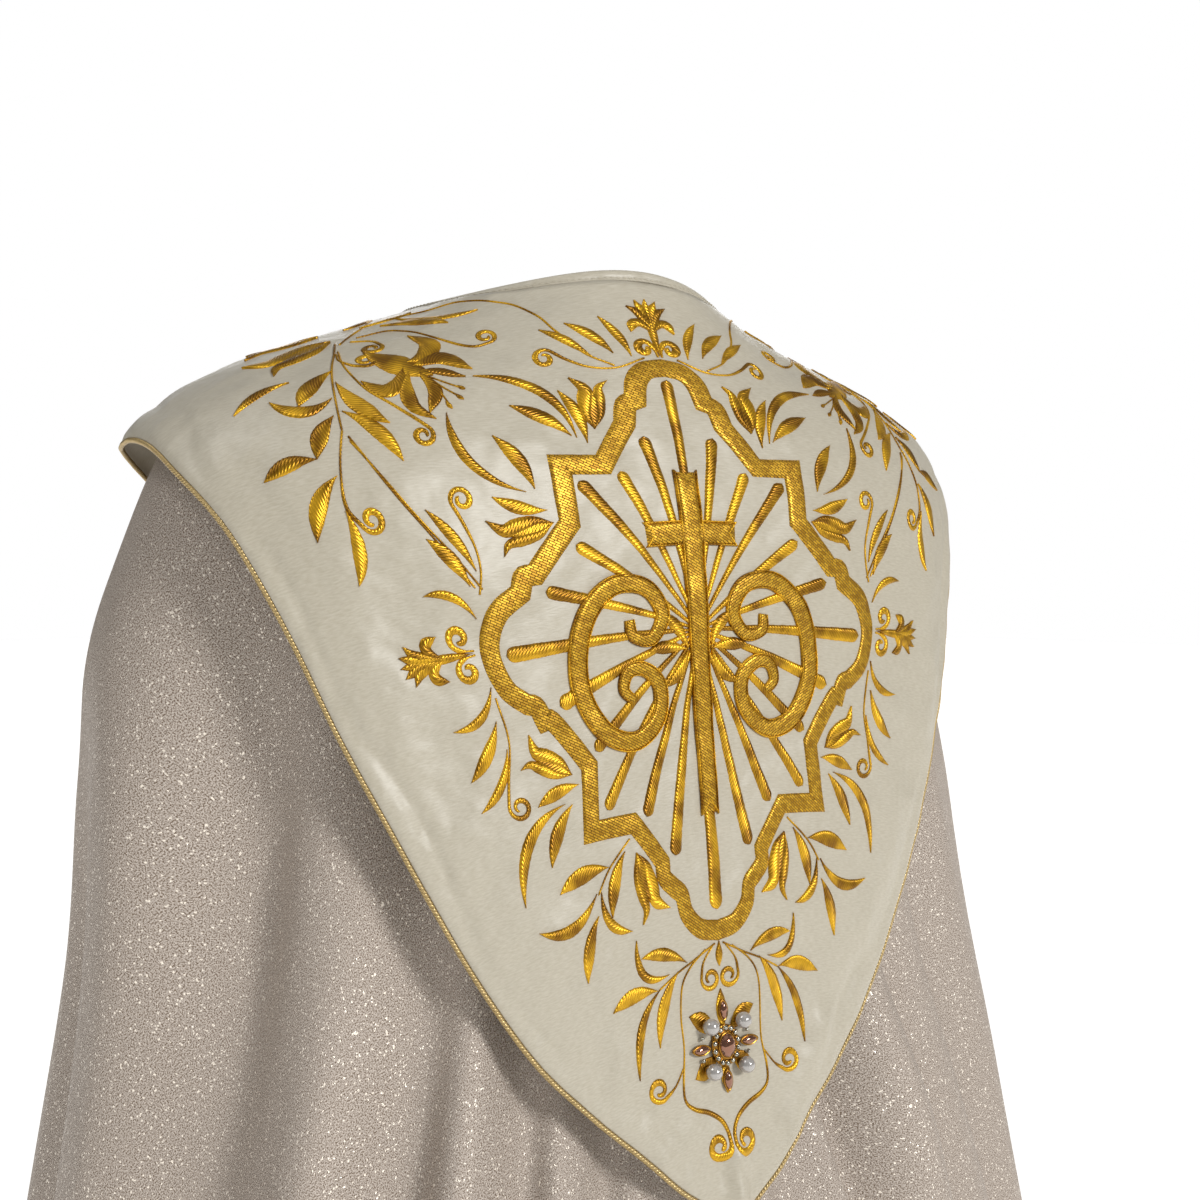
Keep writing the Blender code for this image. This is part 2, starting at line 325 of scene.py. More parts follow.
def curve_through(points: np.ndarray, pieces: int = 12) -> np.ndarray:
    """A smooth line through points: cubic pieces, each leaving along its neighbours' chord.

    Args:
        points: Two points or more.
        pieces: Steps from one point to the next.

    Returns:
        The line's points.
    """
    points = np.asarray(points, float)
    if len(points) < 3:
        return points
    first = 2 * points[0] - points[1]
    last = 2 * points[-1] - points[-2]
    padded = np.vstack([first, points, last])
    part = (np.arange(pieces) / pieces)[None, :, None]
    a, b, c, d = (padded[k : len(padded) - 3 + k, None] for k in range(4))
    cubic = 2 * b + (c - a) * part + (2 * a - 5 * b + 4 * c - d) * part**2
    cubic = 0.5 * (cubic + (3 * b - a - 3 * c + d) * part**3)
    return np.vstack([cubic.reshape(-1, points.shape[1]), points[-1:]])


def path_sides(path: np.ndarray, closed: bool) -> np.ndarray:
    """The direction to the left of a flat path at each point, longer at a mitred corner.

    Args:
        path: Flat points, with y down.
        closed: Whether the path is a loop.

    Returns:
        One direction for each point.
    """
    ahead = unit(np.diff(path, axis=0, append=path[:1] if closed else 2 * path[-1:] - path[-2:-1]))
    behind = np.roll(ahead, 1, axis=0)
    if not closed:
        behind[0] = ahead[0]
        ahead[-1] = behind[-1]
    middle = unit(ahead + behind)
    stretch = 1 / np.maximum((middle * ahead).sum(axis=1), SHARPEST_MITRE)
    left = np.stack([middle[:, 1], -middle[:, 0]], axis=1)
    return left * stretch[:, None]


def linear(colour: str) -> tuple[float, float, float, float]:
    """Turns an sRGB colour into a linear one, by the sRGB curve.

    Args:
        colour: Hex digits, such as "#D6CEBE".

    Returns:
        Linear red, green, blue and alpha.
    """
    parts = (int(colour[k : k + 2], 16) / 255 for k in (1, 3, 5))
    bent = (c / 12.92 if c <= 0.04045 else ((c + 0.055) / 1.055) ** 2.4 for c in parts)
    return (*bent, 1.0)


def add_node(
    tree: NodeTree, kind: str, links: dict | None = None, **settings: object
) -> Node:
    """Adds a node to a material.

    Args:
        tree: The node tree.
        kind: The node's type, without its "ShaderNode".
        links: For each input's name or number, the socket that feeds it or its plain value.
        settings: The node's own settings.

    Returns:
        The new node.
    """
    node = tree.nodes.new("ShaderNode" + kind)
    for key, value in settings.items():
        setattr(node, key, value)
    for key, value in (links or {}).items():
        if isinstance(value, NodeSocket):
            tree.links.new(value, node.inputs[key])
        else:
            node.inputs[key].default_value = value
    return node


def add_noise(
    tree: NodeTree, place: NodeSocket, size_mm: float, detail: float = 2.0
) -> NodeSocket:
    """Adds a soft noise.

    Args:
        tree: The node tree.
        place: Where each point lies, in metres.
        size_mm: About how wide a patch is.
        detail: How many finer layers it has.

    Returns:
        The noise, from 0 to 1.
    """
    links = {"Vector": place, "Scale": 1 / (size_mm * MM), "Detail": detail}
    return add_node(tree, "TexNoise", links).outputs["Fac"]


def add_blend(
    tree: NodeTree, part: NodeSocket, low: object, high: object
) -> NodeSocket:
    """Adds a blend of two colours, each a linear colour or a socket.

    Args:
        tree: The node tree.
        part: How much of the second colour there is.
        low: The first colour.
        high: The second colour.

    Returns:
        The blended colour.
    """
    return add_node(tree, "Mix", {0: part, 6: low, 7: high}, data_type="RGBA").outputs[2]


def add_bump(
    tree: NodeTree,
    height: NodeSocket,
    strength: float,
    depth_mm: float,
    under: NodeSocket | None = None,
    invert: bool = False,
) -> NodeSocket:
    """Adds relief that light sees.

    Args:
        tree: The node tree.
        height: The pattern that rises.
        strength: How much of it shows.
        depth_mm: How high it rises.
        under: The relief that it lies on, if any.
        invert: Whether high parts sink instead.

    Returns:
        The bent normal.
    """
    links = {"Height": height, "Strength": strength, "Distance": depth_mm * MM}
    if under:
        links["Normal"] = under
    return add_node(tree, "Bump", links, invert=invert).outputs[0]


def make_object(
    name: str,
    points: np.ndarray,
    faces: list[np.ndarray],
    material: Material,
    uv: np.ndarray | None = None,
    flat: bool = False,
) -> Object:
    """Puts points and faces into a new mesh object at the origin.

    Args:
        name: The piece's name.
        points: One row for each point, in metres.
        faces: Arrays of faces, each array's faces with the same number of corners.
        material: The piece's material.
        uv: A place on the cloth for each point, in metres.
        flat: Whether facets stay flat instead of shading smooth.

    Returns:
        The object, linked to the scene.
    """
    mesh = bpy.data.meshes.new(name)
    corners = np.concatenate([f.ravel() for f in faces])
    totals = np.concatenate([np.full(len(f), f.shape[1]) for f in faces])
    mesh.vertices.add(len(points))
    mesh.vertices.foreach_set("co", np.ascontiguousarray(points, np.float32).ravel())
    mesh.loops.add(len(corners))
    mesh.loops.foreach_set("vertex_index", corners.astype(np.int32))
    mesh.polygons.add(len(totals))
    starts = np.pad(totals.cumsum(), (1, 0))[:-1]
    mesh.polygons.foreach_set("loop_start", starts.astype(np.int32))
    if uv is not None:
        layer = mesh.uv_layers.new(name="cloth")
        layer.data.foreach_set("uv", uv[corners].astype(np.float32).ravel())
    mesh.update(calc_edges=True)
    mesh.validate()
    if not flat:
        mesh.shade_smooth()
    mesh.materials.append(material)
    made = bpy.data.objects.new(name, mesh)
    bpy.context.scene.collection.objects.link(made)
    return made


def wear(piece: Object, slot: str, *nodes: str) -> Object:
    """Makes a piece ride with the garment and stand for solids, whose own objects it hides.

    Args:
        piece: The finished object.
        slot: Not used.
        nodes: The solids that it stands for, if any.

    Returns:
        The same piece.
    """
    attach(piece, "root")
    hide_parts(*nodes)
    faces = len(piece.data.polygons)
    LOG.info("%s: %d faces, stands for %s", piece.name, faces, ", ".join(nodes) or "no solid")
    return piece


def shell_faces(across: int, down: int) -> np.ndarray:
    """Quads of a closed shell: an outer grid, then an inner one, joined round all four rims.

    Args:
        across: Points on a grid's first side.
        down: Points on its second side.

    Returns:
        Rows of four corners.
    """
    out = np.arange(across * down).reshape(across, down)
    inn = out + across * down

    def quads(a: np.ndarray, b: np.ndarray, c: np.ndarray, d: np.ndarray) -> np.ndarray:
        """Four arrays of corners as rows of quads."""
        return np.stack([a, b, c, d], axis=-1).reshape(-1, 4)

    return np.concatenate([
        quads(out[:-1, :-1], out[1:, :-1], out[1:, 1:], out[:-1, 1:]),
        quads(inn[:-1, :-1], inn[:-1, 1:], inn[1:, 1:], inn[1:, :-1]),
        quads(out[1:, 0], out[:-1, 0], inn[:-1, 0], inn[1:, 0]),
        quads(out[:-1, -1], out[1:, -1], inn[1:, -1], inn[:-1, -1]),
        quads(out[0, :-1], out[0, 1:], inn[0, 1:], inn[0, :-1]),
        quads(out[-1, 1:], out[-1, :-1], inn[-1, :-1], inn[-1, 1:]),
    ])


def make_shell(
    name: str,
    outer: np.ndarray,
    inner: np.ndarray,
    uv: np.ndarray,
    material: Material,
) -> Object:
    """Makes a closed thin shell from its two faces.

    Args:
        name: The piece's name.
        outer: A grid of points.
        inner: A grid of as many points under it.
        uv: A place on the cloth for each point of a grid, in metres.
        material: The piece's material.

    Returns:
        The object.
    """
    points = np.concatenate([outer.reshape(-1, 3), inner.reshape(-1, 3)])
    places = np.tile(uv.reshape(-1, 2), (2, 1))
    return make_object(name, points, [shell_faces(*outer.shape[:2])], material, places)


def tube_faces(rows: int, ring: int, closed: bool) -> list[np.ndarray]:
    """Faces of rows of closed rings: quads between rows, and a cap at each end unless it closes.

    Args:
        rows: How many rings there are.
        ring: Points in each ring.
        closed: Whether the last ring joins the first.

    Returns:
        An array of quads, then one of both caps if there are any.
    """
    index = np.arange(rows * ring).reshape(rows, ring)
    here = index if closed else index[:-1]
    after = np.roll(index, -1, axis=0) if closed else index[1:]
    turn_here, turn_after = np.roll(here, -1, axis=1), np.roll(after, -1, axis=1)
    quads = np.stack([here, turn_here, turn_after, after], axis=-1).reshape(-1, 4)
    if closed:
        return [quads]
    return [quads, np.stack([index[0, ::-1], index[-1]])]


def joined_faces(faces: list[np.ndarray]) -> list[np.ndarray]:
    """Joins arrays of faces that have the same number of corners.

    Args:
        faces: Arrays of faces, in any order.

    Returns:
        One array for each number of corners.
    """
    by_size: dict[int, list[np.ndarray]] = {}
    for rows in faces:
        by_size.setdefault(rows.shape[1], []).append(rows)
    return [np.concatenate(group) for group in by_size.values()]


# ---- Finishes ----


@dataclass(frozen=True)
class Finish:
    """A plain finish, which the others add a surface to."""

    name: str
    colour: str
    roughness: float
    metallic: float = 0.0

    def material(self) -> Material:
        """Makes the material.

        Returns:
            A material with one Principled shader, dressed by the finish.
        """
        made = bpy.data.materials.new(self.name)
        made.use_nodes = True
        tree = made.node_tree
        shader = tree.nodes["Principled BSDF"]
        shader.inputs["Base Color"].default_value = linear(self.colour)
        shader.inputs["Roughness"].default_value = self.roughness
        shader.inputs["Metallic"].default_value = self.metallic
        self.dress(tree, shader)
        return made

    def dress(self, tree: NodeTree, shader: Node) -> None:
        """Adds the finish's own pattern. A plain one has none.

        Args:
            tree: The material's node tree.
            shader: Its Principled shader.
        """


@dataclass(frozen=True)
class DuchesseSatin(Finish):
    """Duchesse satin, woven with long warp floats: a pale gloss with faint streaks of slubby weft."""

    name: str = "Duchesse satin, woven, ivory"
    colour: str = "#BFB8A7"
    shade: str = "#B3AB98"
    roughness: float = 0.41
    streak_mm: tuple[float, float] = (4.0, 0.7)  # weft is 0.1 mm, drawn coarser so that it shows
    pucker_mm: float = 34.0

    def dress(self, tree: NodeTree, shader: Node) -> None:
        """Streaks along the weft, and shallow puckers where the stitching pulls.

        Args:
            tree: The material's node tree.
            shader: Its Principled shader.
        """
        place = add_node(tree, "UVMap", uv_map="cloth").outputs["UV"]
        along, across = (1 / (size * MM) for size in self.streak_mm)
        stretched = add_node(tree, "Mapping", {"Vector": place, "Scale": (along, across, 1)})
        streaks = {"Vector": stretched.outputs[0], "Scale": 1.0, "Detail": 3.0}
        weft = add_node(tree, "TexNoise", streaks).outputs["Fac"]
        pucker = add_noise(tree, place, self.pucker_mm)
        contrast = add_node(tree, "MapRange", {"Value": weft, "From Min": 0.34, "From Max": 0.66})
        tint = add_blend(tree, contrast.outputs[0], linear(self.shade), linear(self.colour))
        tree.links.new(tint, shader.inputs["Base Color"])
        soft = add_bump(tree, pucker, 0.6, 7)
        tree.links.new(add_bump(tree, weft, 0.4, 0.2, under=soft), shader.inputs["Normal"])
        shader.inputs["Sheen Weight"].default_value = 0.15
        shader.inputs["Sheen Roughness"].default_value = 0.4
        shader.inputs["Specular IOR Level"].default_value = 0.55


@dataclass(frozen=True)
class GlitterCrepe(Finish):
    """Polyester crepe, woven with lurex: pebbly and dusky, with a silvery bloom and lurex sparks painted
    as glints.
    """

    name: str = "Crepe, woven with lurex, champagne"
    colour: str = "#6F5C4A"
    bloom: str = "#C9BEB3"
    # Near white: the scattered lurex threads' colour, brightened into painted glints that show whatever
    # the light.
    lurex_and_painted_glint: str = "#FFF4E4"
    roughness: float = 0.6
    metallic: float = 0.3
    pebble_mm: float = 0.7  # crepe grain is 0.3 mm, drawn coarser so that it shows
    spark_mm: float = 0.8
    spark_share: float = 0.035
    spark_roughness: float = 0.25

    def dress(self, tree: NodeTree, shader: Node) -> None:
        """A grain of small pebbles, painted darker between them, with scattered lurex threads painted
        near white as glints.

        Args:
            tree: The material's node tree.
            shader: Its Principled shader.
        """
        place = add_node(tree, "UVMap", uv_map="cloth").outputs["UV"]
        grain = add_noise(tree, place, self.pebble_mm)
        # The colour runs from dark in the grain's hollows to the pale bloom on its tops, by the same
        # noise as the bump: partly the crepe's own two tones, partly painted shade in the hollows.
        grain_and_pit_shade = add_node(tree, "MapRange", {"Value": grain, "From Min": 0.36, "From Max": 0.58})
        # Scattered cells of the grain get a lower roughness and a near-white colour: the roughness is the
        # lurex's own, the near white a painted glint.
        cell = add_node(tree, "TexVoronoi", {"Vector": place, "Scale": 1 / (self.spark_mm * MM)})
        chance = add_node(tree, "SeparateColor", {0: cell.outputs["Color"]}).outputs[0]
        share = {0: chance, 1: 1 - self.spark_share}
        lit = add_node(tree, "Math", share, operation="GREATER_THAN").outputs[0]
        ground = add_blend(tree, grain_and_pit_shade.outputs[0], linear(self.colour), linear(self.bloom))
        sparkling = add_blend(tree, lit, ground, linear(self.lurex_and_painted_glint))
        tree.links.new(sparkling, shader.inputs["Base Color"])
        smooth = {"Value": lit, "To Min": self.roughness, "To Max": self.spark_roughness}
        glint = add_node(tree, "MapRange", smooth)
        tree.links.new(glint.outputs[0], shader.inputs["Roughness"])
        tree.links.new(add_bump(tree, grain, 0.7, 0.5), shader.inputs["Normal"])


@dataclass(frozen=True)
class GoldThread(Finish):
    """Rayon embroidery thread laid as satin stitch, with painted sheen and shade: each shape brighter or
    darker gold at random.
    """

    name: str = "Rayon thread, satin stitch, gold"
    # The bright and dark ends of the gold: a noise blends each shape between them, as painted sheen and
    # painted shade.
    colour: str = "#E4B027"
    deep: str = "#774D07"
    roughness: float = 0.33
    metallic: float = 0.72
    thread_mm: float = 0.9  # thread is 0.4 mm, drawn coarser so that it shows
    # Patch size of the noise that paints sheen and shade onto the gold; each shape has its own place in
    # it.
    painted_sheen_patch_mm: float = 16.0

    def dress(self, tree: NodeTree, shader: Node) -> None:
        """Threads side by side across each shape, with painted sheen and shade that make some shapes
        brighter and others darker, and a highlight drawn out along it.

        Args:
            tree: The material's node tree.
            shader: Its Principled shader.
        """
        place = add_node(tree, "UVMap", uv_map="cloth").outputs["UV"]
        wave = {"Vector": place, "Scale": WAVE / (self.thread_mm * MM), "Distortion": 1.2}
        threads = add_node(tree, "TexWave", wave, bands_direction="DIAGONAL").outputs["Fac"]
        # Painted sheen and shade: a broad noise blends the base colour from the dark gold to the bright
        # one.
        leaf = add_noise(tree, place, self.painted_sheen_patch_mm, 3.0)
        spread = add_node(tree, "MapRange", {"Value": leaf, "From Min": 0.39, "From Max": 0.61})
        lines = add_node(tree, "Math", {0: threads, 1: 0.2}, operation="MULTIPLY")
        parts = {0: spread.outputs[0], 1: 0.8, 2: lines.outputs[0]}
        painted_sheen_and_threads = add_node(tree, "Math", parts, operation="MULTIPLY_ADD")
        tint = add_blend(tree, painted_sheen_and_threads.outputs[0], linear(self.deep), linear(self.colour))
        tree.links.new(tint, shader.inputs["Base Color"])
        tree.links.new(add_bump(tree, threads, 0.5, 0.25), shader.inputs["Normal"])
        lie = add_node(tree, "Tangent", direction_type="UV_MAP", uv_map="cloth")
        tree.links.new(lie.outputs[0], shader.inputs["Tangent"])
        shader.inputs["Anisotropic"].default_value = 0.75


@dataclass(frozen=True)
class GoldFill(Finish):
    """Rayon thread laid as fill stitch: rows of short stitches, dotted where the needle went in."""

    name: str = "Rayon thread, fill stitch, gold"
    colour: str = "#DDAD30"
    other: str = "#A87A14"
    hole: str = "#5E3F05"
    roughness: float = 0.38
    metallic: float = 0.6
    stitch_mm: tuple[float, float] = (3.0, 1.2)  # rows are 0.4 mm, drawn coarser so that they show
    slant: float = math.radians(32)

    def dress(self, tree: NodeTree, shader: Node) -> None:
        """Staggered bricks of thread on a slant, dark and sunk at their joints.

        Args:
            tree: The material's node tree.
            shader: Its Principled shader.
        """
        place = add_node(tree, "UVMap", uv_map="cloth").outputs["UV"]
        length, row = self.stitch_mm
        turned = add_node(tree, "Mapping", {"Vector": place, "Rotation": (0, 0, self.slant)})
        bricks = add_node(
            tree,
            "TexBrick",
            {
                "Vector": turned.outputs[0],
                "Scale": 1 / (length * MM),
                "Brick Width": 1.0,
                "Row Height": row / length,
                "Mortar Size": 0.075,
                "Mortar Smooth": 1.0,
                "Color1": linear(self.colour),
                "Color2": linear(self.other),
                "Mortar": linear(self.hole),
            },
            offset=0.37,
        )
        tree.links.new(bricks.outputs["Color"], shader.inputs["Base Color"])
        sunk = add_bump(tree, bricks.outputs["Fac"], 0.7, 0.4, invert=True)
        tree.links.new(sunk, shader.inputs["Normal"])


@dataclass(frozen=True)
class LurexCord(Finish):
    """Lurex cord, twisted from metal-wrapped strands: pale gold with glints on every strand."""

    name: str = "Lurex cord, twisted, pale gold"
    colour: str = "#DDC48E"
    deep: str = "#8E7440"
    roughness: float = 0.3
    metallic: float = 0.6
    filament_mm: float = 0.6

    def dress(self, tree: NodeTree, shader: Node) -> None:
        """Filaments of uneven brightness.

        Args:
            tree: The material's node tree.
            shader: Its Principled shader.
        """
        place = add_node(tree, "TexCoord").outputs["Object"]
        fibre = add_noise(tree, place, self.filament_mm)
        tint = add_blend(tree, fibre, linear(self.deep), linear(self.colour))
        tree.links.new(tint, shader.inputs["Base Color"])
        tree.links.new(add_bump(tree, fibre, 0.5, 0.2), shader.inputs["Normal"])


@dataclass(frozen=True)
class JewelleryFinish(Finish):
    """A hard, bright finish with faint handling marks and a clear coat."""

    coat: float = 0.0
    mark_mm: float = 1.5
    mark_depth: float = 0.05

    def dress(self, tree: NodeTree, shader: Node) -> None:
        """Slight unevenness of the surface, and the coat.

        Args:
            tree: The material's node tree.
            shader: Its Principled shader.
        """
        place = add_node(tree, "TexCoord").outputs["Object"]
        marks = add_noise(tree, place, self.mark_mm)
        tree.links.new(add_bump(tree, marks, self.mark_depth, 0.2), shader.inputs["Normal"])
        shader.inputs["Coat Weight"].default_value = self.coat


GILT = JewelleryFinish("Gilt brass, cast", "#A97C34", 0.26, 1.0)
PEACH_CRYSTAL = JewelleryFinish("Foiled glass, cut, peach", "#94664F", 0.05, 0.8, coat=1.0)
CLEAR_CRYSTAL = JewelleryFinish("Foiled glass, cut, clear", "#A9A698", 0.05, 0.9, coat=1.0)
PEARL = JewelleryFinish("Glass pearl, lacquered", "#B3AFAB", 0.16, 0.35, 0.8, mark_depth=0.02)
STITCH = Finish("Polyester thread, twisted, ivory", "#BDB5A2", 0.5)


# ---- Cloth ----


@dataclass
class DrapedForm:
    """The shape that the cloth takes. A point has a bearing from the centre back round to the
    wearer's left, and a reach: the length of cloth from the neckline down to it."""

    rings: tuple[Ring, ...] = RINGS
    flat_radius: float = 0.11
    flat_reach: float = 0.2
    deepest: float = 0.56
    bearings: int = 721
    reaches: int = 561
    ray_steps: int = 900
    probe: float = 0.02  # how far to each side widening looks, in radians

    def __post_init__(self) -> None:
        """Works out a fine grid of points and normals by bearing and reach, read ever after."""
        self.bearing = np.radians(np.linspace(-180, 180, self.bearings))
        self.reach = np.linspace(0, self.deepest, self.reaches)
        steps = np.linspace(0, len(self.rings) - 1, self.ray_steps)
        rays = self.point(self.bearing[:, None], steps)
        length = np.linalg.norm(np.diff(rays, axis=1), axis=2).cumsum(axis=1)
        length = np.pad(length, ((0, 0), (1, 0)))
        place = np.stack([np.interp(self.reach, row, steps) for row in length])
        self.points = self.point(self.bearing[:, None], place)
        round_it = np.gradient(self.points, axis=0)
        down_it = np.gradient(self.points, axis=1)
        self.normals = unit(np.cross(round_it, down_it))
        level = int(round(self.flat_reach / self.deepest * (self.reaches - 1)))
        arc = lengths_along(self.points[:, level])
        arc -= np.interp(0, self.bearing, arc)
        self.turn = arc / (self.flat_radius + self.flat_reach)

    def point(self, bearing: np.ndarray, place: np.ndarray) -> np.ndarray:
        """Points of the form: a superellipse whose size and drops come from the rings.

        Args:
            bearing: Angles from the centre back, in radians.
            place: Places counted in rings from the neck.

        Returns:
            Points in metres, on a last axis of three.
        """
        knots = np.arange(len(self.rings))
        ring = {
            name: smooth_table(place, knots, [getattr(row, name) for row in self.rings])
            for name in Ring._fields[1:]
        }
        side, back = np.sin(bearing), np.cos(bearing)
        depth = np.where(back >= 0, ring["back_depth"], ring["front_depth"])
        drop = np.where(back >= 0, ring["back_drop"], ring["front_drop"])
        squared = np.abs(side / ring["half_width"]) ** ring["square"]
        squared = squared + np.abs(back / depth) ** ring["square"]
        radius = squared ** (-1 / ring["square"])
        sideways = side * side
        height = -(drop * (1 - sideways) + ring["side_drop"] * sideways)
        return np.stack([radius * side, radius * back, height], axis=-1)

    def lifted(self, bearing: np.ndarray, reach: np.ndarray, lift: np.ndarray) -> np.ndarray:
        """Points that stand off the form by the lift, read from the grid between its four corners.

        Args:
            bearing: Angles in radians.
            reach: Lengths of cloth in metres.
            lift: Heights above the form in metres.

        Returns:
            Points in metres.
        """
        bearing, reach, lift = np.broadcast_arrays(bearing, reach, lift)
        column = (bearing - self.bearing[0]) / (self.bearing[1] - self.bearing[0])
        row = reach / (self.reach[1] - self.reach[0])
        column = np.clip(column, 0, self.bearings - 1.001)
        row = np.clip(row, 0, self.reaches - 1.001)
        i, j = column.astype(int), row.astype(int)
        u, v = (column - i)[..., None], (row - j)[..., None]

        def read(grid: np.ndarray) -> np.ndarray:
            """Reads the grid between its corners.

            Args:
                grid: Points or normals by bearing and reach.

            Returns:
                The value between the four corners.
            """
            near = grid[i, j] * (1 - v) + grid[i, j + 1] * v
            far = grid[i + 1, j] * (1 - v) + grid[i + 1, j + 1] * v
            return near * (1 - u) + far * u

        return read(self.points) + unit(read(self.normals)) * lift[..., None]

    def to_flat(self, bearing: np.ndarray, reach: np.ndarray) -> np.ndarray:
        """Where a point lies on the flat cloth: a fan about a centre above the neckline.

        Args:
            bearing: Angles in radians.
            reach: Lengths of cloth in metres.

        Returns:
            Flat points (x, y) in metres.
        """
        turn = np.interp(bearing, self.bearing, self.turn)
        radius = reach + self.flat_radius
        return np.stack([radius * np.sin(turn), radius * np.cos(turn) - self.flat_radius], -1)

    def from_flat(self, x: np.ndarray, y: np.ndarray) -> tuple[np.ndarray, np.ndarray]:
        """Finds a flat point's place on the form.

        Args:
            x: Distances to the wearer's left, in metres.
            y: Distances down from the neckline, in metres.

        Returns:
            The bearings, and the reaches.
        """
        turn = np.arctan2(x, y + self.flat_radius)
        reach = np.hypot(x, y + self.flat_radius) - self.flat_radius
        return np.interp(turn, self.turn, self.bearing), reach

    def widening(self, x: float, y: float) -> tuple[np.ndarray, float]:
        """How much wider the flat cloth is than the form at a point of it.

        Args:
            x: Distance to the wearer's left on the flat cloth, in metres.
            y: Distance down from the neckline, in metres.

        Returns:
            The level direction on the flat cloth, and the flat width over the real one.
        """
        bearing, reach = self.from_flat(np.array(x), np.array(y))
        pair = bearing + np.array([-self.probe, self.probe])
        across = np.subtract(*self.to_flat(pair, reach)[::-1])
        real = np.linalg.norm(np.subtract(*self.lifted(pair, reach, np.array(0.0))))
        return unit(across), float(np.linalg.norm(across) / real)


@dataclass
class Garment:
    """Sizes that the mantle, hood and neck binding share."""

    form: DrapedForm
    front_bearing: float = math.radians(175.5)
    band_reach: float = 7 * MM
    seam_gap: float = 0.3 * MM

    def columns(self, count: int, crowd: float = 0.0) -> np.ndarray:
        """Bearings from the right front edge round the back to the left one.

        Args:
            count: How many gaps there are between columns.
            crowd: How much closer they stand at the back, from 0 to 1.

        Returns:
            One bearing for each column, in radians.
        """
        across = np.linspace(-1, 1, count + 1)
        return self.front_bearing * ((1 - crowd) * across + crowd * across**3)


@dataclass
class Mantle(Garment):
    """The mantle: a semicircle of crepe that hangs from the neck in soft, uneven folds."""

    wall: float = 1.4 * MM
    grid: tuple[int, int] = (268, 156)
    hem_turn: float = 24 * MM  # depth of the turned hem, with a stitched line above it
    hem_line: float = 0.8 * MM  # how far its stitches sink
    # The mantle hangs back by the tuck under the hood's edge. The spans are how far above the edge
    # that starts, how far below it ends, and how far below it ends at the sides.
    tuck: float = 17 * MM
    tuck_span: tuple[float, float, float] = (90 * MM, 120 * MM, 320 * MM)
    side_tuck: float = 0.8  # what the sides add, as a share of the tuck
    side_turns: tuple[float, float, float, float] = (40, 18, 70, 20)  # start, growth, end, fade
    flat: tuple[float, float] = (3.0, 1.5)
    flat_area: float = 3.53

    def folded(self, bearing: np.ndarray, place: np.ndarray, sink: float) -> np.ndarray:
        """The form, drawn in towards its axis by every fold. A fold's trough is a squared
        cosine across it, and its depth grows smoothly from its top down to the hem.

        Args:
            bearing: Angles in radians.
            place: Places counted in rings from the neck.
            sink: How far the whole face is drawn in, in metres.

        Returns:
            Points in metres.
        """
        points = self.form.point(bearing, place)
        drop = -points[..., 2]
        hem = -self.form.point(bearing, np.full_like(place, len(RINGS) - 1.0))[..., 2]
        depth = np.full(drop.shape, sink)
        for fold in MAIN_FOLDS + SMALL_FOLDS + UPPER_FOLDS:
            across = (np.degrees(bearing) - fold.bearing) / fold.width
            trough = np.where(np.abs(across) < 1, np.cos(across * math.pi / 2) ** 2, 0)
            length = fold.grown or hem - fold.top
            depth = depth + fold.depth * trough * smooth_step((drop - fold.top) / length)
        depth = depth + self.tucked(bearing, points)
        above_hem = (hem - drop) / self.hem_turn
        depth = depth + self.hem_line * np.exp(-(((above_hem - 1) * 5) ** 2))
        inwards = unit(-points * (1, 1, 0))
        return points + inwards * depth[..., None]

    def tucked(self, bearing: np.ndarray, points: np.ndarray) -> np.ndarray:
        """How far the mantle hangs back under the hood's edge: most just inside it, and it
        comes out again below.

        Args:
            bearing: Angles in radians.
            points: Points of the form, by bearing and place.

        Returns:
            Depths in metres.
        """
        step = np.linalg.norm(np.diff(points, axis=1), axis=2).cumsum(axis=1)
        below = np.pad(step, ((0, 0), (1, 0))) - Hood(self.form).edge_reach(bearing)
        turn = np.abs(np.degrees(bearing))
        begin, growth, end, fade = self.side_turns
        side = smooth_step((turn - begin) / growth) * (1 - smooth_step((turn - end) / fade))
        start, end, side_end = self.tuck_span
        end = end + (side_end - end) * side
        rise = smooth_step((below + start) / start) * smooth_step((end - below) / end)
        back = 0.5 + 0.5 * smooth_step((turn - 4) / 16)  # only half as much at the centre back
        return self.tuck * rise * (back + self.side_tuck * side)

    def build(self, material: Material) -> Object:
        """Builds the mantle as a closed thin shell.

        Args:
            material: The crepe.

        Returns:
            The mantle's object.
        """
        bearing = self.columns(self.grid[0])[:, None]
        top = self.band_reach + self.seam_gap
        steps = np.linspace(0, 2, 60)
        lengths = (lengths_along(self.form.point(column, steps)) for column in bearing[:, 0])
        first = np.array([np.interp(top, length, steps) for length in lengths])[:, None]
        down = np.linspace(0, 1, self.grid[1] + 1)
        place = first + (len(RINGS) - 1 - first) * down
        bearing = np.broadcast_to(bearing, place.shape)
        outer = self.folded(bearing, place, 0.0)
        inner = self.folded(bearing, place, self.wall)
        drop = np.linalg.norm(np.diff(outer, axis=1), axis=2).cumsum(axis=1)
        reach = top + np.pad(drop, ((0, 0), (1, 0)))
        return make_shell("mantle_cloth", outer, inner, self.form.to_flat(bearing, reach), material)


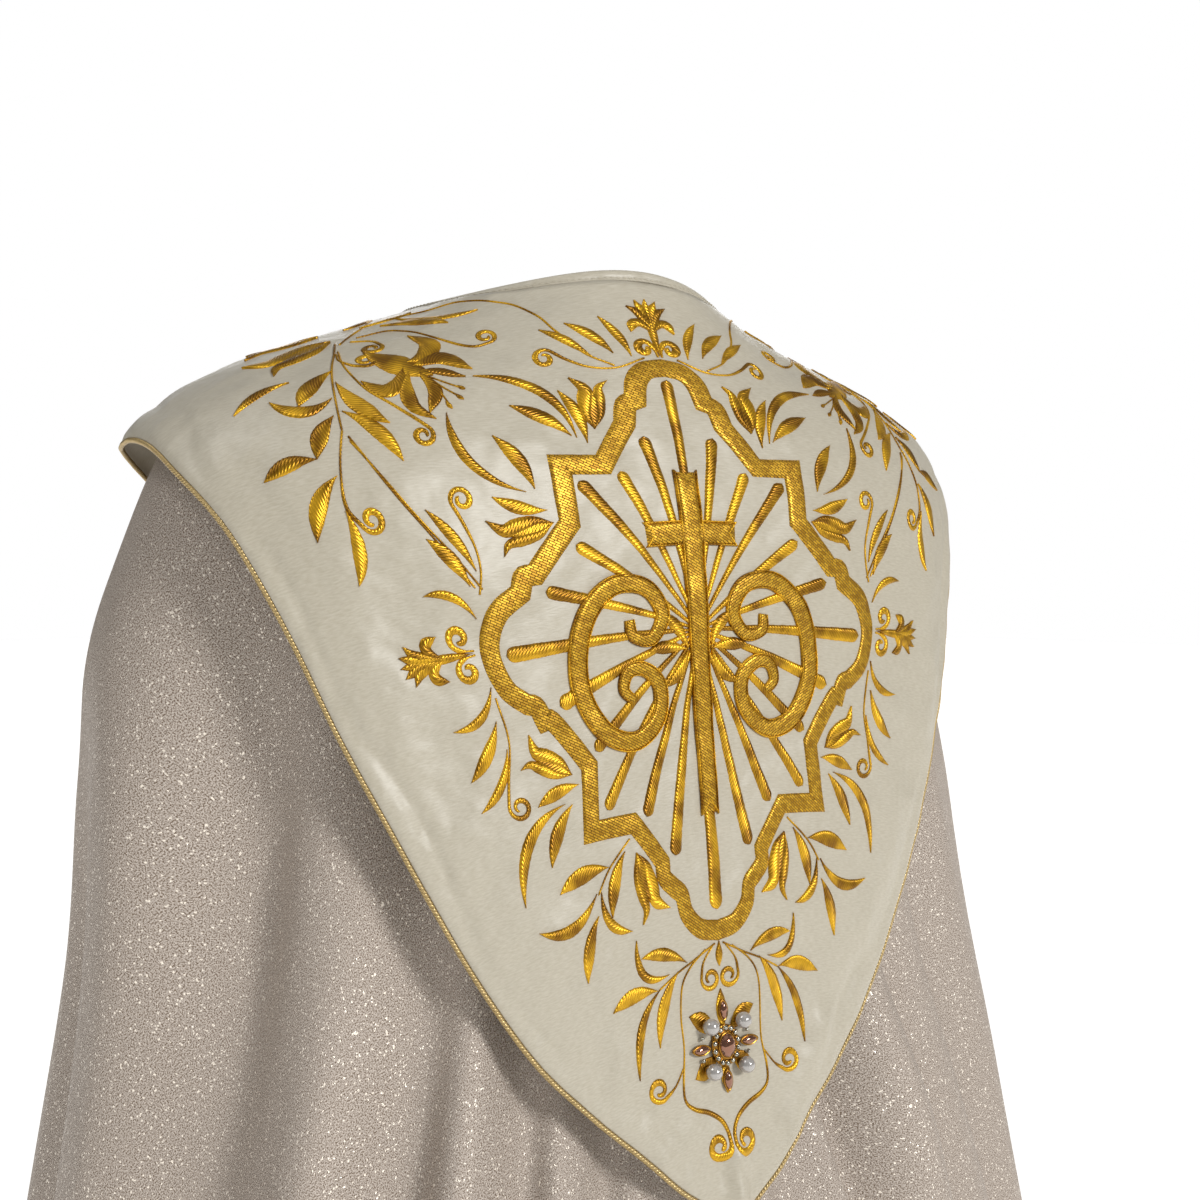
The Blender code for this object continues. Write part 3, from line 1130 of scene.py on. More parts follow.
@dataclass
class Hood(Garment):
    """The hood: a wide satin shield over the shoulders that comes to a point at the back."""

    wall: float = 1.5 * MM
    lift: float = 3.5 * MM
    lift_reach: float = 80 * MM
    roll: float = 5 * MM  # how far in from the edge the satin starts to roll under
    roll_drop: float = 1.1 * MM
    groove: tuple[float, float, float] = (15 * MM, 6 * MM, 0.9 * MM)  # place, width and depth
    pucker: float = 11.0  # mm of cloth to a radian of its soft waves
    pucker_height: float = 0.4 * MM
    grid: tuple[int, int] = (300, 130)
    crowd: float = 0.3
    flat: tuple[float, float] = (0.56, 0.70)
    flat_area: float = 0.25

    def edge_reach(self, bearing: np.ndarray) -> np.ndarray:
        """The reach of the hood's outer edge, the same on both sides.

        Args:
            bearing: Angles in radians.

        Returns:
            Lengths of cloth in metres.
        """
        rows = [Edge(-row.bearing, row.reach) for row in HOOD_EDGE[:0:-1]] + list(HOOD_EDGE)
        knots, values = zip(*rows)
        return smooth_table(np.degrees(bearing), knots, values)

    def inner_lift(self, reach: np.ndarray) -> np.ndarray:
        """The height of the inner face above the mantle."""
        return self.seam_gap + (self.lift - self.seam_gap) * smooth_step(reach / self.lift_reach)

    def relief(self, bearing: np.ndarray, reach: np.ndarray) -> np.ndarray:
        """Soft creases, a shallow stitched line inside the edge, and the roll of the edge.

        Args:
            bearing: Angles in radians.
            reach: Lengths of cloth in metres.

        Returns:
            Heights to add to the hood's face, in metres.
        """
        flat = self.form.to_flat(bearing, reach) / MM
        height = np.zeros(flat.shape[:-1])
        for crease in CREASES:
            start = np.array([crease.x0, crease.y0])
            run = np.array([crease.x1, crease.y1]) - start
            along = ((flat - start) @ run) / (run @ run)
            nearest = start + np.clip(along, 0, 1)[..., None] * run
            away = np.linalg.norm(flat - nearest, axis=-1) / crease.width
            height = height + crease.height * np.exp(-away * away)
        inside = self.edge_reach(bearing) - reach
        rolled = np.clip(1 - inside / self.roll, 0, 1)
        place, width, depth = self.groove
        sway = 1 + 0.35 * np.sin(bearing * 9.0) + 0.25 * np.sin(bearing * 23.0 + 1.0)
        line = depth * sway * np.exp(-(((inside - place * sway) / width) ** 2))
        x, y = flat[..., 0] / self.pucker, flat[..., 1] / self.pucker
        waves = np.sin(x + 1.3 * np.sin(0.6 * y)) * np.sin(1.1 * y + np.sin(0.7 * x) + 0.8)
        waves = waves + 0.5 * np.sin(2.1 * x - 1.7 * y) * np.sin(1.9 * y + 0.4)
        return height * MM + self.pucker_height * waves - self.roll_drop * rolled**2 - line

    def face(self, bearing: np.ndarray, reach: np.ndarray, height: np.ndarray) -> np.ndarray:
        """Points at a height above the hood's outer face, in metres."""
        lift = self.inner_lift(reach) + self.wall + self.relief(bearing, reach)
        return self.form.lifted(bearing, reach, lift + height)

    def on_cloth(self, flat: np.ndarray) -> np.ndarray:
        """Flat points (x, y, height) in mm, laid on the outer face."""
        bearing, reach = self.form.from_flat(flat[..., 0] * MM, flat[..., 1] * MM)
        return self.face(bearing, reach, flat[..., 2] * MM)

    def build(self, material: Material) -> Object:
        """Builds the hood as a closed shell whose edge is rounded like a half circle.

        Args:
            material: The satin.

        Returns:
            The hood's object.
        """
        bearing = self.columns(self.grid[0], self.crowd)[:, None]
        top = self.band_reach + self.seam_gap
        half = self.wall / 2
        arc = np.linspace(0, math.pi / 2, 5)[1:]
        edge = self.edge_reach(bearing)
        down = np.linspace(0, 1, self.grid[1] + 1)
        straight = top + (edge - half - top) * down
        rounded = edge - half + half * np.sin(arc)
        reach = np.concatenate([straight, rounded], axis=1)
        shrink = np.concatenate([np.ones(len(down)), np.maximum(np.cos(arc), 0.05)])
        bearing = np.broadcast_to(bearing, reach.shape)
        outer = self.face(bearing, reach, half * (shrink - 1))
        inner = self.face(bearing, reach, half * (-shrink - 1))
        return make_shell("hood_satin", outer, inner, self.form.to_flat(bearing, reach), material)


@dataclass
class NeckBinding(Garment):
    """The binding: a strip of satin folded over the top edges, with a stitched line."""

    lift: float = 2.4 * MM
    wall: float = 4.5 * MM
    cloth: float = 0.8 * MM
    columns_round: int = 240
    stitch_length: float = 2.6 * MM
    stitch_pitch: float = 3.4 * MM
    stitch_inset: float = 1.2 * MM
    stitch_radius: float = 0.28 * MM
    neck_radius: float = 80 * MM

    def outline(self, inset: float, count: int) -> np.ndarray:
        """The strip's fold in section, as (reach, lift): down the outer face, over the round
        top and down the inner one, moved in by the inset.

        Args:
            inset: How far the line is moved in.
            count: Points round the fold's top.

        Returns:
            Rows of (reach, lift) in metres.
        """
        out, back = self.lift - inset, self.lift - self.wall + inset
        radius = (out - back) / 2
        turn = np.linspace(0, math.pi, count)
        cap_reach = radius + inset - radius * np.sin(turn)
        cap_lift = (out + back) / 2 + radius * np.cos(turn)
        ends = [(self.band_reach, out)], [(self.band_reach, back)]
        return np.vstack([ends[0], np.stack([cap_reach, cap_lift], axis=1), ends[1]])

    def build(self, material: Material) -> Object:
        """Carries the fold's section round the neck as a closed thin shell.

        Args:
            material: The piece's finish.

        Returns:
            The piece.
        """
        bearing = self.columns(self.columns_round)[:, None]
        sections = [self.outline(inset, 12) for inset in (0.0, self.cloth)]
        outer, inner = (
            self.form.lifted(bearing, line[None, ::-1, 0], line[None, ::-1, 1])
            for line in sections
        )
        along = np.broadcast_to(bearing * self.neck_radius, outer.shape[:2])
        across = np.broadcast_to(lengths_along(sections[0]), outer.shape[:2])
        uv = np.stack([along, across], axis=-1)
        return make_shell("neck_binding", outer, inner, uv, material)

    def stitches(self, material: Material) -> Object:
        """A line of short raised stitches along the binding's lower edge.

        Args:
            material: The piece's finish.

        Returns:
            The piece.
        """
        reach = self.band_reach - self.stitch_inset
        fine = self.columns(2000)
        length = lengths_along(self.form.lifted(fine, reach, self.lift))
        starts = np.arange(2 * MM, length[-1] - self.stitch_pitch, self.stitch_pitch)
        share = np.linspace(0, 1, 5)
        rise = np.sin(share * math.pi) * 0.3 * MM
        turn = np.linspace(0, 2 * math.pi, 6, endpoint=False)
        at = np.interp(starts[:, None] + share * self.stitch_length, length, fine)
        thick = self.stitch_radius * (0.35 + 0.65 * np.sin(share * math.pi))
        side = reach + np.cos(turn) * thick[:, None]
        up = self.lift - 0.05 * MM + rise[:, None] + np.sin(turn) * thick[:, None]
        points = self.form.lifted(at[:, :, None], side[None], up[None])
        faces = repeated(tube_faces(5, 6, closed=False), len(starts), 30)
        return make_object("neck_stitching", points.reshape(-1, 3), faces, material)


def repeated(faces: list[np.ndarray], copies: int, stride: int) -> list[np.ndarray]:
    """The same faces for so many copies of a shape, whose points come one copy after another.

    Args:
        faces: One copy's faces.
        copies: How many copies there are.
        stride: Points in each copy.

    Returns:
        The faces of them all.
    """
    shift = np.arange(copies)[:, None, None] * stride
    return [(f[None] + shift).reshape(-1, f.shape[1]) for f in faces]


@dataclass
class EdgeCord:
    """The cord sewn along the hood's edge, twisted from strands round its line."""

    hood: Hood
    radius: float = 1.4 * MM
    strands: int = 3
    strand_radius: float = 0.76 * MM
    pitch: float = 5.6 * MM
    steps_a_pitch: int = 8
    sides: int = 6

    def line(self) -> np.ndarray:
        """The cord's line, just past the hood's edge at the middle of its wall.

        Returns:
            The line's points, one for each step of the twist.
        """
        hood = self.hood
        bearing = hood.columns(1200, hood.crowd)
        edge = hood.edge_reach(bearing)
        middle = hood.face(bearing, edge, -hood.wall / 2)
        above = hood.face(bearing, edge - 5 * MM, -hood.wall / 2)
        out = middle - above
        along = unit(np.gradient(middle, axis=0))
        out = unit(out - along * (out * along).sum(axis=1, keepdims=True))
        return evenly(middle + out * self.radius * 0.8, self.pitch / self.steps_a_pitch)

    def build(self, material: Material) -> Object:
        """Each strand's centre circles the line once a pitch, and each is a round tube.

        Args:
            material: The piece's finish.

        Returns:
            The piece.
        """
        line = self.line()
        along = unit(np.gradient(line, axis=0))
        across = unit(np.cross(along, (0, 0, 1.0)))
        up = np.cross(across, along)
        angle = 2 * math.pi * np.arange(len(line)) / self.steps_a_pitch
        round_it = np.linspace(0, 2 * math.pi, self.sides, endpoint=False)
        rows = []
        for strand in range(self.strands):
            turn = angle + 2 * math.pi * strand / self.strands
            offset = self.radius - self.strand_radius
            spread = across * np.cos(turn)[:, None] + up * np.sin(turn)[:, None]
            centre = line + spread * offset
            tangent = unit(np.gradient(centre, axis=0))
            side = unit(np.cross(tangent, spread))
            ring = np.cross(side, tangent)[:, None] * np.cos(round_it)[:, None]
            ring = ring + side[:, None] * np.sin(round_it)[:, None]
            rows.append(centre[:, None] + ring * self.strand_radius)
        points = np.stack(rows).reshape(-1, 3)
        one = tube_faces(len(line), self.sides, closed=False)
        faces = repeated(one, self.strands, len(line) * self.sides)
        return make_object("edge_cord", points, faces, material)


@dataclass
class FrontTab:
    """A plain satin tab over both front edges of the hood."""

    hood: Hood
    half_turn: float = math.radians(22)
    width: float = 100 * MM
    top: float = 45 * MM
    height: float = 50 * MM
    wall: float = 1.6 * MM
    grid: tuple[int, int] = (48, 28)

    def lift(self) -> float:
        """The height of the tab's inner face above the form."""
        return self.hood.lift + self.hood.wall + self.hood.seam_gap

    def build(self, material: Material) -> Object:
        """A closed shell on the hood's face, its corners and edges drawn down to the hood.

        Args:
            material: The piece's finish.

        Returns:
            The piece.
        """
        across = np.linspace(-1, 1, self.grid[0] + 1)[:, None]
        down = np.linspace(-1, 1, self.grid[1] + 1)[None]
        bearing = math.pi + self.half_turn * across
        bearing = np.where(bearing > math.pi, bearing - 2 * math.pi, bearing)
        reach = self.top + self.height * (down + 1) / 2
        edge = np.maximum(np.abs(across) ** 14, np.abs(down) ** 10)
        outer = self.hood.form.lifted(bearing, reach, self.lift() + self.wall * (1 - 0.6 * edge))
        inner = self.hood.form.lifted(bearing, reach, self.lift())
        uv = np.stack(np.broadcast_arrays(self.width / 2 * across, reach), axis=-1)
        return make_shell("front_tab_satin", outer, inner, uv, material)


# ---- Embroidery ----


class Fill(Enum):
    """How a shape's section rises, as a power: a soft dome of satin stitch or a level fill."""

    SATIN = 3.0
    LEVEL = 9.0


@dataclass
class Stitching:
    """Raised stitches, gathered in flat millimetres and laid on the hood as one piece.

    Each shape is a path with a width. Its section is an arch that starts and ends a
    little way inside the cloth, so the shape is closed underneath.
    """

    name: str
    hood: Hood
    seed: int = 1
    sink: float = 0.25
    fullness: float = 1.14  # thread swells past the drawn outline
    tail_run: float = 12.0  # how far back from an end its swallow tail starts
    stretch: tuple[float, float] = (0.75, 1.5)  # least and most that a spiral is widened
    points: list[np.ndarray] = field(default_factory=list)
    places: list[np.ndarray] = field(default_factory=list)
    faces: list[np.ndarray] = field(default_factory=list)
    count: int = 0

    def stroke(
        self,
        path: np.ndarray,
        half: np.ndarray | float,
        height: float = 0.9,
        fill: Fill = Fill.SATIN,
        closed: bool = False,
        tails: tuple[float, float] = (0.0, 0.0),
        jitter: float = 0.035,
        mirror: bool = True,
        across: int = 9,
    ) -> None:
        """Adds one shape, and its mirror image on the wearer's right.

        Args:
            path: Points of the centre line, in mm.
            half: Half the width at each point, in mm.
            height: How far the arch rises, in mm.
            fill: The arch's form.
            closed: Whether the path is a loop.
            tails: How far each end's sides run on past its middle, for a swallow tail.
            jitter: How uneven the rows of thread are, as a share of the width.
            mirror: Whether to add the mirror image too.
            across: Points across the arch.
        """
        rng = np.random.default_rng(self.seed + self.count)
        rows = len(path)
        half = np.broadcast_to(half, rows) * (1 + jitter * rng.uniform(-1, 1, rows))
        side = path_sides(path, closed)
        along = lengths_along(path)
        lane = np.sin(np.linspace(-math.pi / 2, math.pi / 2, across))
        flat = path[:, None] + side[:, None] * (half[:, None] * lane)[..., None]
        for end, tail in ((0, tails[0]), (-1, tails[1])):
            if tail:
                ahead = unit(path[end] - path[1 if end == 0 else -2])
                share = np.clip(1 - np.abs(along - along[end]) / self.tail_run, 0, 1)
                run = share[:, None] * np.abs(lane) * tail
                flat = flat + run[..., None] * ahead
        rise = height * (1 + jitter * rng.uniform(-1, 1, rows))[:, None]
        arch = rise * (1 - np.abs(lane) ** fill.value) - self.sink * np.abs(lane) ** 20
        if fill is Fill.LEVEL:
            place = flat
        else:
            place = np.stack(np.broadcast_arrays(along[:, None], lane * half[:, None]), -1)
            # A random shift of each satin-stitched shape's place on the cloth, so its thread lines and
            # its painted sheen and shade differ from other shapes.
            place = place + rng.uniform(0, 900, 2)
        grid = np.concatenate([flat, arch[..., None]], axis=-1)
        self.add(grid, place, closed, flip=False)
        if mirror:
            self.add(grid * (-1, 1, 1), place, closed, flip=True)

    def add(self, grid: np.ndarray, place: np.ndarray, closed: bool, flip: bool) -> None:
        """Adds a grid of rows of closed rings, turned round if it was mirrored.

        Args:
            grid: Rows of rings (x, y, height) in mm.
            place: A place on the cloth for each point, in mm.
            closed: Whether the last row joins the first.
            flip: Whether the grid is a mirror image.
        """
        faces = tube_faces(*grid.shape[:2], closed)
        self.points.append(grid.reshape(-1, 3))
        self.places.append(place.reshape(-1, 2) * MM)
        self.faces += [(f[:, ::-1] if flip else f) + self.count for f in faces]
        self.count += grid.shape[0] * grid.shape[1]

    def leaf(self, row: Leaf, height: float = 0.9, mirror: bool = True) -> None:
        """A leaf: a quadratic curve from base to tip, its width a sine that peaks past half way.

        Args:
            row: The leaf.
            height: How far it rises, in mm.
            mirror: Whether to add the mirror image too.
        """
        base, tip = np.array(row[:2], float), np.array(row[2:4], float)
        chord = tip - base
        left = np.array([chord[1], -chord[0]])
        knee = base + chord * row.lean + left * 2 * row.bow
        part = np.linspace(0, 1, 40)[:, None]
        path = (1 - part) ** 2 * base + 2 * part * (1 - part) * knee + part**2 * tip
        self.petal(path, row.width, height, mirror)

    def petal(
        self, line: np.ndarray, width: float, height: float = 0.9, mirror: bool = True
    ) -> None:
        """A pointed shape along any line: half its width is a sine of the way along it.

        Args:
            line: Points of its centre line, in mm.
            width: Its greatest width, in mm.
            height: How far it rises, in mm.
            mirror: Whether to add the mirror image too.
        """
        path = evenly(curve_through(np.asarray(line, float)) if len(line) < 12 else line, 0.8)
        share = np.linspace(0, 1, len(path))
        half = self.fullness * width / 2 * np.sin(math.pi * share**1.15) ** 0.9
        self.stroke(path, np.maximum(half, 0.12), height, mirror=mirror)

    def curl(self, row: Curl, height: float = 0.7, mirror: bool = True) -> None:
        """A tendril: thin along its line, and swelling and closing in its spiral.

        Args:
            row: The tendril.
            height: How far it rises, in mm.
            mirror: Whether to add the mirror image too.
        """
        line = curve_through(np.array(row.line, float))
        path = evenly(line, 0.9)
        thin = min(0.55, row.width / 2)
        half = np.linspace(thin, thin if row.radius == 0 else row.width * 0.38, len(path))
        half = np.maximum(thin, half * smooth_step(np.linspace(0, 1, len(path)) * 1.2))
        if row.radius:
            ahead = unit(path[-1] - path[-2])
            left = np.array([ahead[1], -ahead[0]]) * math.copysign(1, row.radius)
            turn = np.linspace(0, row.turns * 2 * math.pi, 64)[1:]
            size = abs(row.radius) * (1 - 0.66 * turn / turn[-1])
            centre = path[-1] + left * abs(row.radius)
            spiral = centre + size[:, None] * (
                ahead * np.sin(turn)[:, None] - left * np.cos(turn)[:, None]
            )
            level, wide = self.hood.form.widening(*path[-1] * MM)
            away = spiral - path[-1]
            least, most = self.stretch
            spiral = spiral + (min(max(wide, least), most) - 1) * (away @ level)[:, None] * level
            swell = 0.76 + 0.5 * np.sin(math.pi * turn / turn[-1]) - 0.25 * turn / turn[-1]
            joined = np.vstack([path, spiral])
            widths = np.concatenate([half, row.width / 2 * swell])
            length = lengths_along(joined)
            path = evenly(joined, 0.8)
            half = np.interp(lengths_along(path), length, widths)
        half[-1] = half[-1] * 0.4
        self.stroke(path, half, height, mirror=mirror, across=7)

    def bud(self, row: Bud, mirror: bool = True) -> None:
        """A tulip bud: a middle petal and two at its sides, whose tips turn out.

        Args:
            row: The bud.
            mirror: Whether to add the mirror image too.
        """
        base, tip = np.array(row[:2], float), np.array(row[2:4], float)
        ahead = tip - base
        left = np.array([ahead[1], -ahead[0]]) * row.side

        def at(*points: tuple[float, float]) -> np.ndarray:
            """Points of the bud, as shares of its length along it and to its long petal's side."""
            return np.array([base + ahead * a + left * b for a, b in points])

        length = float(np.linalg.norm(ahead))
        for line, width, height in BUD_PETALS:
            self.petal(at(*line), length * width, height, mirror)

    def build(self, material: Material) -> Object:
        """Lays every shape on the hood and makes the piece.

        Args:
            material: The piece's finish.

        Returns:
            The piece.
        """
        points = self.hood.on_cloth(np.concatenate(self.points))
        faces, places = joined_faces(self.faces), np.concatenate(self.places)
        return make_object(self.name, points, faces, material, places)


@dataclass
class Medallion:
    """The lobed band, its rays, and the ribbon cross and scrolls over them. All in mm."""

    hood: Hood
    band_width: float = 10.0
    centre: tuple[float, float] = (0.0, 190.0)
    ray_start: float = 6.0

    # The band's line down the wearer's left: smooth runs, which meet at sharp corners.
    runs: tuple[tuple[tuple[float, float], ...], ...] = (
        ((0, 58), (8, 60), (13, 66), (15.5, 76)),
        ((15.5, 76), (20, 78.5), (22.5, 88)),
        ((22.5, 88), (36.5, 108)),
        ((36.5, 108), (55.5, 106.5)),
        ((55.5, 106.5), (57.5, 134)),
        ((57.5, 134), (79, 155)),
        ((79, 155), (84.5, 155.5), (88, 162)),
        ((88, 162), (101, 169), (109, 180), (110.5, 191), (107, 203), (99, 211)),
        ((99, 211), (94.5, 213), (92, 220)),
        ((92, 220), (87, 222), (72, 245)),
        ((72, 245), (77.5, 275)),
        ((77.5, 275), (51, 276.5)),
        ((51, 276.5), (35, 298)),
        ((35, 298), (35, 305), (29, 311)),
        ((29, 311), (24.5, 315), (22, 324), (13, 332.5), (0, 335)),
    )
    # The outer end of each ray, and its width there.
    rays: tuple[tuple[float, float, float], ...] = (
        (16, 95, 6.0),
        (30, 112, 6.0),
        (49, 115, 6.5),
        (57, 144, 7.0),
        (76, 163, 7.0),
        (103, 188, 8.0),
        (82, 215, 8.0),
        (67, 239, 7.0),
        (66, 267, 7.0),
        (42, 275, 7.5),
        (26, 296, 8.5),
    )
    upright: tuple[float, float, float] = (120.0, 272.0, 5.2)  # top, bottom, half width
    crossbar: tuple[float, float, float] = (143.0, 19.0, 5.6)  # middle, half length, half width
    tail: float = 7.0
    # The scroll tied to the cross on the wearer's left, and its greatest width.
    scroll: tuple[tuple[float, float], ...] = (
        (41, 220), (46, 214), (42, 206), (33, 206), (25, 215), (28, 230), (43, 239),
        (60, 232), (69, 213), (67, 192), (58, 175), (43, 165), (27, 168), (20, 181),
        (27, 192), (37, 190), (38, 182),
    )
    scroll_width: float = 9.6
    crossbar_flare: float = 4.0  # how far its swallow tails reach past its end

    def band(self, material: Material) -> Object:
        """The lobed band of fill stitch, closed across both sides and mitred at its corners.

        Args:
            material: The piece's finish.

        Returns:
            The piece.
        """
        half = [evenly(curve_through(np.array(run)), 1.6)[:-1] for run in self.runs]
        left = np.vstack([*half, [self.runs[-1][-1]]])
        right = left[-2:0:-1] * (-1, 1)
        band = Stitching("medallion_band", self.hood, seed=11)
        loop = np.vstack([left, right])
        options = {"closed": True, "mirror": False, "jitter": 0.01}
        band.stroke(loop, self.band_width / 2, 0.9, Fill.LEVEL, across=11, **options)
        return band.build(material)

    def sunburst(self, material: Material) -> Object:
        """The rays: each widens outwards to a round end.

        Args:
            material: The piece's finish.

        Returns:
            The piece.
        """
        rays = Stitching("medallion_rays", self.hood, seed=21)
        for x, y, width in ((0, 65, 6.0), *self.rays, (0, 325, 10.0)):
            start = np.array(self.centre, float)
            end = np.array([x, y], float)
            reach = float(np.linalg.norm(end - start))
            away = (end - start) / reach
            along = np.linspace(self.ray_start, reach, int((reach - self.ray_start) / 0.8))
            taper = 0.5 + (width / 2 - 0.5) * (along / reach) ** 0.8
            tip = np.clip((along - reach + width / 2) / (width / 2), 0, 1)
            half = np.maximum(taper * np.sqrt(1 - tip**2), 0.2)
            rays.stroke(start + away * along[:, None], half, 1.0, mirror=x > 0)
        return rays.build(material)

    def cross(self, fill: Material) -> Object:
        """The ribbon cross, with swallow-tail ends.

        Args:
            fill: The ribbons' finish.

        Returns:
            The piece.
        """
        panels = Stitching("ribbon_cross", self.hood, seed=31)
        top, bottom, half = self.upright
        line = evenly(np.array([(0, top), (0, bottom)], float), 1.5)
        options = {"mirror": False, "jitter": 0.01, "across": 13}
        panels.stroke(line, half, 1.75, Fill.LEVEL, tails=(self.tail, self.tail), **options)
        level, reach, thick = self.crossbar
        line = evenly(np.array([(-reach, level), (reach, level)], float), 1.5)
        panels.stroke(line, thick, 1.55, Fill.LEVEL, tails=(self.crossbar_flare,) * 2, **options)
        return panels.build(fill)

    def edging(self, material: Material) -> Object:
        """A narrow satin-stitched edge round the cross and scrolls.

        Args:
            material: The piece's finish.

        Returns:
            The piece.
        """
        edge = Stitching("ribbon_edging", self.hood, seed=41)
        top, bottom, half = self.upright
        tail = self.tail
        outline = [(0, top), (half, top - tail), (half, bottom + tail), (0, bottom)]
        self.bead(edge, outline, 1.95)
        level, reach, thick = self.crossbar
        end = reach + self.crossbar_flare
        for rim in (level - thick, level + thick):
            self.bead(edge, [(half, rim), (end, rim), (reach, level)], 1.75)
        for x, y, bow in ((21, 181, 0.12), (30, 198, 0.06), (22, 216, -0.12)):
            edge.leaf(Leaf(7, 199, x, y, 6.0, bow), 1.5)
        path, half_widths = self.scroll_path()
        side = path_sides(path, closed=False)
        for sign in (-1, 1):
            offset = path + side * (half_widths * sign)[:, None]
            edge.stroke(evenly(offset, 0.9), 0.5, 1.6, across=7)
        return edge.build(material)

    def bead(self, piece: Stitching, corners: list[tuple[float, float]], height: float) -> None:
        """A narrow raised line through sharp corners.

        Args:
            piece: The stitching to add it to.
            corners: Its corners, in mm.
            height: How far it rises, in mm.
        """
        ends = np.array(corners, float)
        parts = [evenly(ends[k : k + 2], 0.9)[:-1] for k in range(len(ends) - 1)]
        piece.stroke(np.vstack([*parts, ends[-1:]]), 0.55, height, across=7)

    def scroll_path(self) -> tuple[np.ndarray, np.ndarray]:
        """The scroll's smooth path and half widths, which close down towards both ends.

        Returns:
            Points of the path, and half the width at each.
        """
        path = evenly(curve_through(np.array(self.scroll, float)), 1.0)
        share = np.linspace(0, 1, len(path))
        return path, self.scroll_width / 2 * (0.42 + 0.58 * np.sin(math.pi * share) ** 0.7)

    def scrollwork(self, material: Material) -> Object:
        """The scroll ribbons in fill stitch.

        Args:
            material: The piece's finish.

        Returns:
            The piece.
        """
        piece = Stitching("scroll_ribbons", self.hood, seed=51)
        path, half = self.scroll_path()
        piece.stroke(path, half, 1.4, Fill.LEVEL, jitter=0.01, across=11)
        return piece.build(material)


class Petal(NamedTuple):
    """A pointed shape along a curved line, and its greatest width. All in mm."""

    line: tuple[tuple[float, float], ...]
    width: float


class Flower(NamedTuple):
    """A fan flower in mm: where its stem starts, where it points in degrees, and its scale."""

    x: float
    y: float
    angle: float
    size: float


# Sprays that fill the corners between the medallion's lobes and run down to the point.
MEDALLION_SPRAYS = (
    Leaf(12, 52, 20, 28, 4.0, 0.06),
    Leaf(19, 50, 34, 30, 5.0, 0.08),
    Leaf(28, 51, 45, 32, 4.5, 0.05),
    Curl(((7, 53), (19, 58), (30, 57), (38, 52), (44, 46)), 2.6, -5.5),
    Curl(((20, 57), (30, 49), (38, 35), (43, 22), (51, 9), (63, -2), (78, -12), (104, -20)), 1.3),
    Bud(36, 90, 31.5, 64, -1),
    Leaf(41, 97, 47, 69, 5.5, 0.08),
    Leaf(45, 94, 80, 58, 5.0, 0.22),
    Leaf(47, 93, 69, 76, 6.5, 0.08),
    Leaf(69, 117, 80, 91, 6.5, 0.08),
    Leaf(73, 118, 96, 79, 4.5, -0.2),
    Leaf(66, 127, 88, 119, 6.0, -0.08),
    Bud(65, 133, 92, 139, 1),
    Curl(((107, 160), (103, 150), (102, 140), (104, 128), (106, 121)), 2.6, 5.5),
    Leaf(105, 150, 118, 122, 5.0, 0.06),
    Leaf(110, 156, 122, 134, 6.5, 0.08),
    Leaf(112, 170, 133, 157, 4.0, 0.2),
    Curl(((105, 158), (112, 143), (122, 125), (132, 105), (140, 90)), 1.3),
    Flower(117, 184, 0, 0.95),
    Leaf(115, 200, 140, 215, 4.0, -0.2),
    Leaf(117, 215, 138, 238, 6.0, -0.08),
    Leaf(115, 228, 137, 252, 4.5, -0.14),
    Curl(((114, 205), (113, 225), (118, 242), (121, 253)), 2.6, -5.5),
    Bud(83, 247, 107, 233, 1),
    Leaf(80, 252, 105, 257, 6.0, 0.06),
    Leaf(86, 260, 104, 285, 7.0, 0.08),
    Leaf(90, 259, 124, 298, 6.0, 0.2),
    Bud(52, 290, 45, 322, -1),
    Leaf(59, 288, 72, 316, 7.0, 0.08),
    Curl(((55, 283), (70, 294), (79, 304)), 1.6),
    Leaf(70, 293, 102, 298, 7.5, 0.08),
    Leaf(80, 303, 119, 311, 5.5, -0.2),
    Leaf(77, 303, 60, 325, 5.0, 0.24),
    Leaf(81, 313, 94, 341, 7.0, 0.08),
    Curl(((3, 341), (19, 347), (32, 351), (46, 356)), 1.8),
    Leaf(24, 347, 56, 339, 6.0, 0.08),
    Leaf(38, 350, 58, 330, 4.5, -0.36),
    Leaf(47, 356, 80, 359, 7.0, 0.08),
    Leaf(31, 350, 49, 383, 7.5, 0.1),
    Leaf(46, 356, 67, 394, 5.5, 0.13),
    Curl(((5, 342), (12, 349), (14, 356)), 2.8, -5.5),
    Curl(
        ((10, 343), (22, 350), (29, 358), (31, 372), (31, 388), (34, 402), (34, 411),
         (28, 416), (16, 420), (7, 425), (2.6, 431), (1.9, 436)),
        4.2, 6.2,
    ),
    Curl(((33, 396), (41, 403), (50, 407)), 3.2, 5.5),
)

